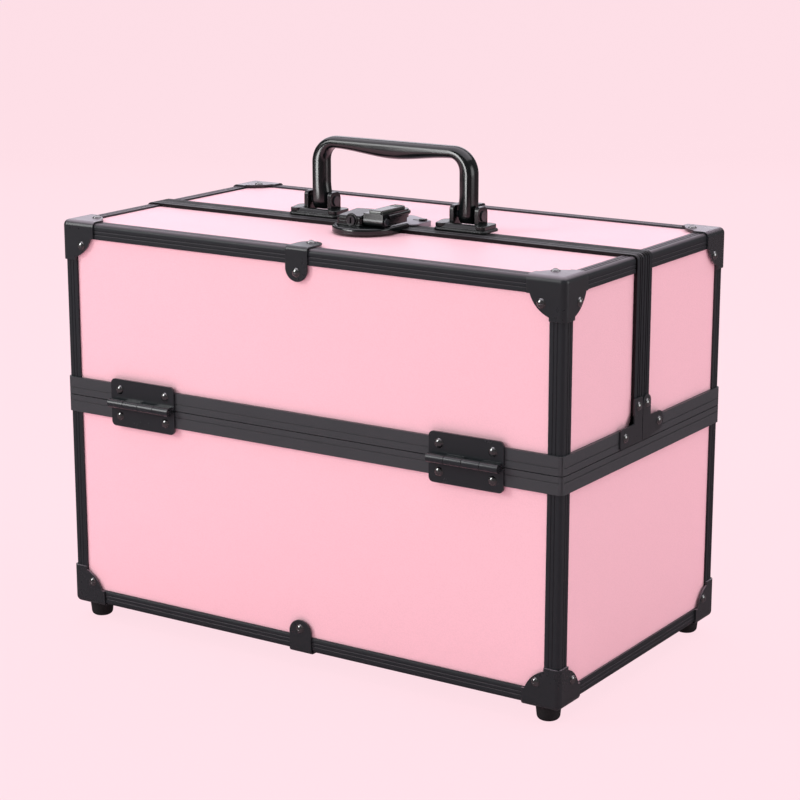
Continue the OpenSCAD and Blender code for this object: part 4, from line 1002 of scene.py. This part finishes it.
def backdrop_material():
    """Floor in the backdrop's colour: it keeps a faint shadow for the camera and is dim in reflections."""
    s, rgb = studio(), colours().backdrop
    material = bpy.data.materials.new("studio_floor")
    material.use_nodes = True
    tree = material.node_tree
    tree.nodes.clear()
    out = tree.nodes.new("ShaderNodeOutputMaterial")
    paint = tree.nodes.new("ShaderNodeBsdfDiffuse")
    path = tree.nodes.new("ShaderNodeLightPath")
    plain = mixed(tree, path.outputs["Is Camera Ray"], rgb, shade(rgb, s.shadow))
    painted = mixed(tree, path.outputs["Is Glossy Ray"], plain, shade(rgb, GLOSSY_PAINT))
    tree.links.new(painted, paint.inputs["Color"])
    glow = tree.nodes.new("ShaderNodeEmission")
    glow.inputs["Color"].default_value = (*rgb, 1.0)
    mirrored = maths(tree, "MULTIPLY", path.outputs["Is Glossy Ray"], s.dim)
    seen = maths(tree, "MULTIPLY", path.outputs["Is Camera Ray"], 1.0 - SHADOW_LOSS * s.shadow)
    tree.links.new(maths(tree, "ADD", seen, mirrored), glow.inputs["Strength"])
    both = tree.nodes.new("ShaderNodeAddShader")
    tree.links.new(paint.outputs[0], both.inputs[0])
    tree.links.new(glow.outputs[0], both.inputs[1])
    tree.links.new(both.outputs[0], out.inputs["Surface"])
    return material


def floor_piece():
    """The floor, a hair below the feet."""
    mesh = bpy.data.meshes.new("studio_floor")
    half = FLOOR_HALF
    square = [(-half, -half, 0), (half, -half, 0), (half, half, 0), (-half, half, 0)]
    mesh.from_pydata(square, [], [(0, 1, 2, 3)])
    floor = bpy.data.objects.new("studio_floor", mesh)
    bpy.context.scene.collection.objects.link(floor)
    floor.location.z = -FLOOR_LOW
    mesh.materials.append(backdrop_material())


def world_light():
    s, rgb = studio(), colours().backdrop
    world = bpy.data.worlds.new("studio")
    bpy.context.scene.world = world
    world.use_nodes = True
    tree = world.node_tree
    tree.nodes.clear()
    out = tree.nodes.new("ShaderNodeOutputWorld")
    room = tree.nodes.new("ShaderNodeBackground")
    room.inputs["Color"].default_value = (*ROOM_TINT, 1.0)
    path = tree.nodes.new("ShaderNodeLightPath")
    strength = spread(tree, path.outputs["Is Glossy Ray"], 0.0, 1.0, s.world, s.dim)
    tree.links.new(strength, room.inputs["Strength"])
    seen = tree.nodes.new("ShaderNodeBackground")
    seen.inputs["Color"].default_value = (*rgb, 1.0)
    pick = tree.nodes.new("ShaderNodeMixShader")
    tree.links.new(path.outputs["Is Camera Ray"], pick.inputs[0])
    tree.links.new(room.outputs[0], pick.inputs[1])
    tree.links.new(seen.outputs[0], pick.inputs[2])
    tree.links.new(pick.outputs[0], out.inputs["Surface"])


CAMERA_AT = (0.7682, -1.1650, 0.4942)
CAMERA_BACK = (0.5310, -0.8126, 0.24045)    # from what the camera looks at towards the camera


def camera_piece():
    data = bpy.data.cameras.new("camera")
    data.lens = studio().lens
    data.sensor_width = 36.0
    data.clip_end = 30.0
    camera = bpy.data.objects.new("camera", data)
    bpy.context.scene.collection.objects.link(camera)
    camera.location = CAMERA_AT
    camera.rotation_euler = Vector(CAMERA_BACK).to_track_quat("Z", "Y").to_euler()
    bpy.context.scene.camera = camera


class CASE_OT_stage(CaseOperator):
    """Makes the floor, the lights and the camera"""
    bl_idname = "case.stage"
    bl_label = "Studio"

    def execute(self, context):
        s = studio()
        context.scene.view_settings.view_transform = "Standard"
        world_light()
        floor_piece()
        softbox("key_light", (-1.10, -1.27, 0.95), (0, 0, 0.14), 0.62, 1.0, s.key)
        fill = softbox("fill_light", (0.2, -1.9, 0.7), (0, 0, 0.14), 1.4, 0.8, s.fill)
        fill.visible_glossy = False
        reflector("left_card", (-0.30, -0.78, 0.32), 0.26, 0.60, s.left_card)
        reflector("right_card", (0.95, 0.38, 0.30), 0.7, 0.5, s.right_card)
        softbox("top_light", (-0.1, 0.25, 1.35), (0, 0, 0.2), 2.4, 1.9, s.top, TOP_TINT)
        softbox("back_light", (-1.1, 1.7, 0.75), (0, 0, 0.26), 1.8, 0.7, s.back, BACK_TINT)
        softbox("side_light", (1.5, 0.5, 0.50), (0, 0, 0.15), 0.9, 0.8, s.side)
        camera_piece()
        return {"FINISHED"}


# ------------------------------------------------------------------ panel and registration

class CASE_PT_sidebar(bpy.types.Panel):
    """Buttons that make the pieces, and their settings"""
    bl_idname = "CASE_PT_sidebar"
    bl_label = "Framed make-up case"
    bl_space_type = "VIEW_3D"
    bl_region_type = "UI"
    bl_category = "Case"

    def draw(self, context):
        for step in STEPS:
            self.layout.operator(step.bl_idname)
        for group_name in ("case_colours", "case_sizes", "case_studio"):
            values = getattr(context.scene, group_name)
            box = self.layout.box()
            for key in values.__annotations__:
                box.prop(values, key)


STEPS = (CASE_OT_panels, CASE_OT_frames, CASE_OT_corners, CASE_OT_hinges, CASE_OT_latch, CASE_OT_handle,
         CASE_OT_inside, CASE_OT_feet, CASE_OT_stage)
SETTINGS = {"case_colours": CaseColours, "case_sizes": CaseSizes, "case_studio": StudioSettings}


def register():
    for cls in (*SETTINGS.values(), *STEPS, CASE_PT_sidebar):
        bpy.utils.register_class(cls)
    for name, cls in SETTINGS.items():
        setattr(bpy.types.Scene, name, bpy.props.PointerProperty(type=cls))


def unregister():
    for name in SETTINGS:
        delattr(bpy.types.Scene, name)
    for cls in (CASE_PT_sidebar, *reversed(STEPS), *SETTINGS.values()):
        bpy.utils.unregister_class(cls)


def run_step(step):
    area, name = step.bl_idname.split(".")
    getattr(getattr(bpy.ops, area), name)()


def main():
    register()
    for step in STEPS:
        run_step(step)


if __name__ == "__main__":
    main()
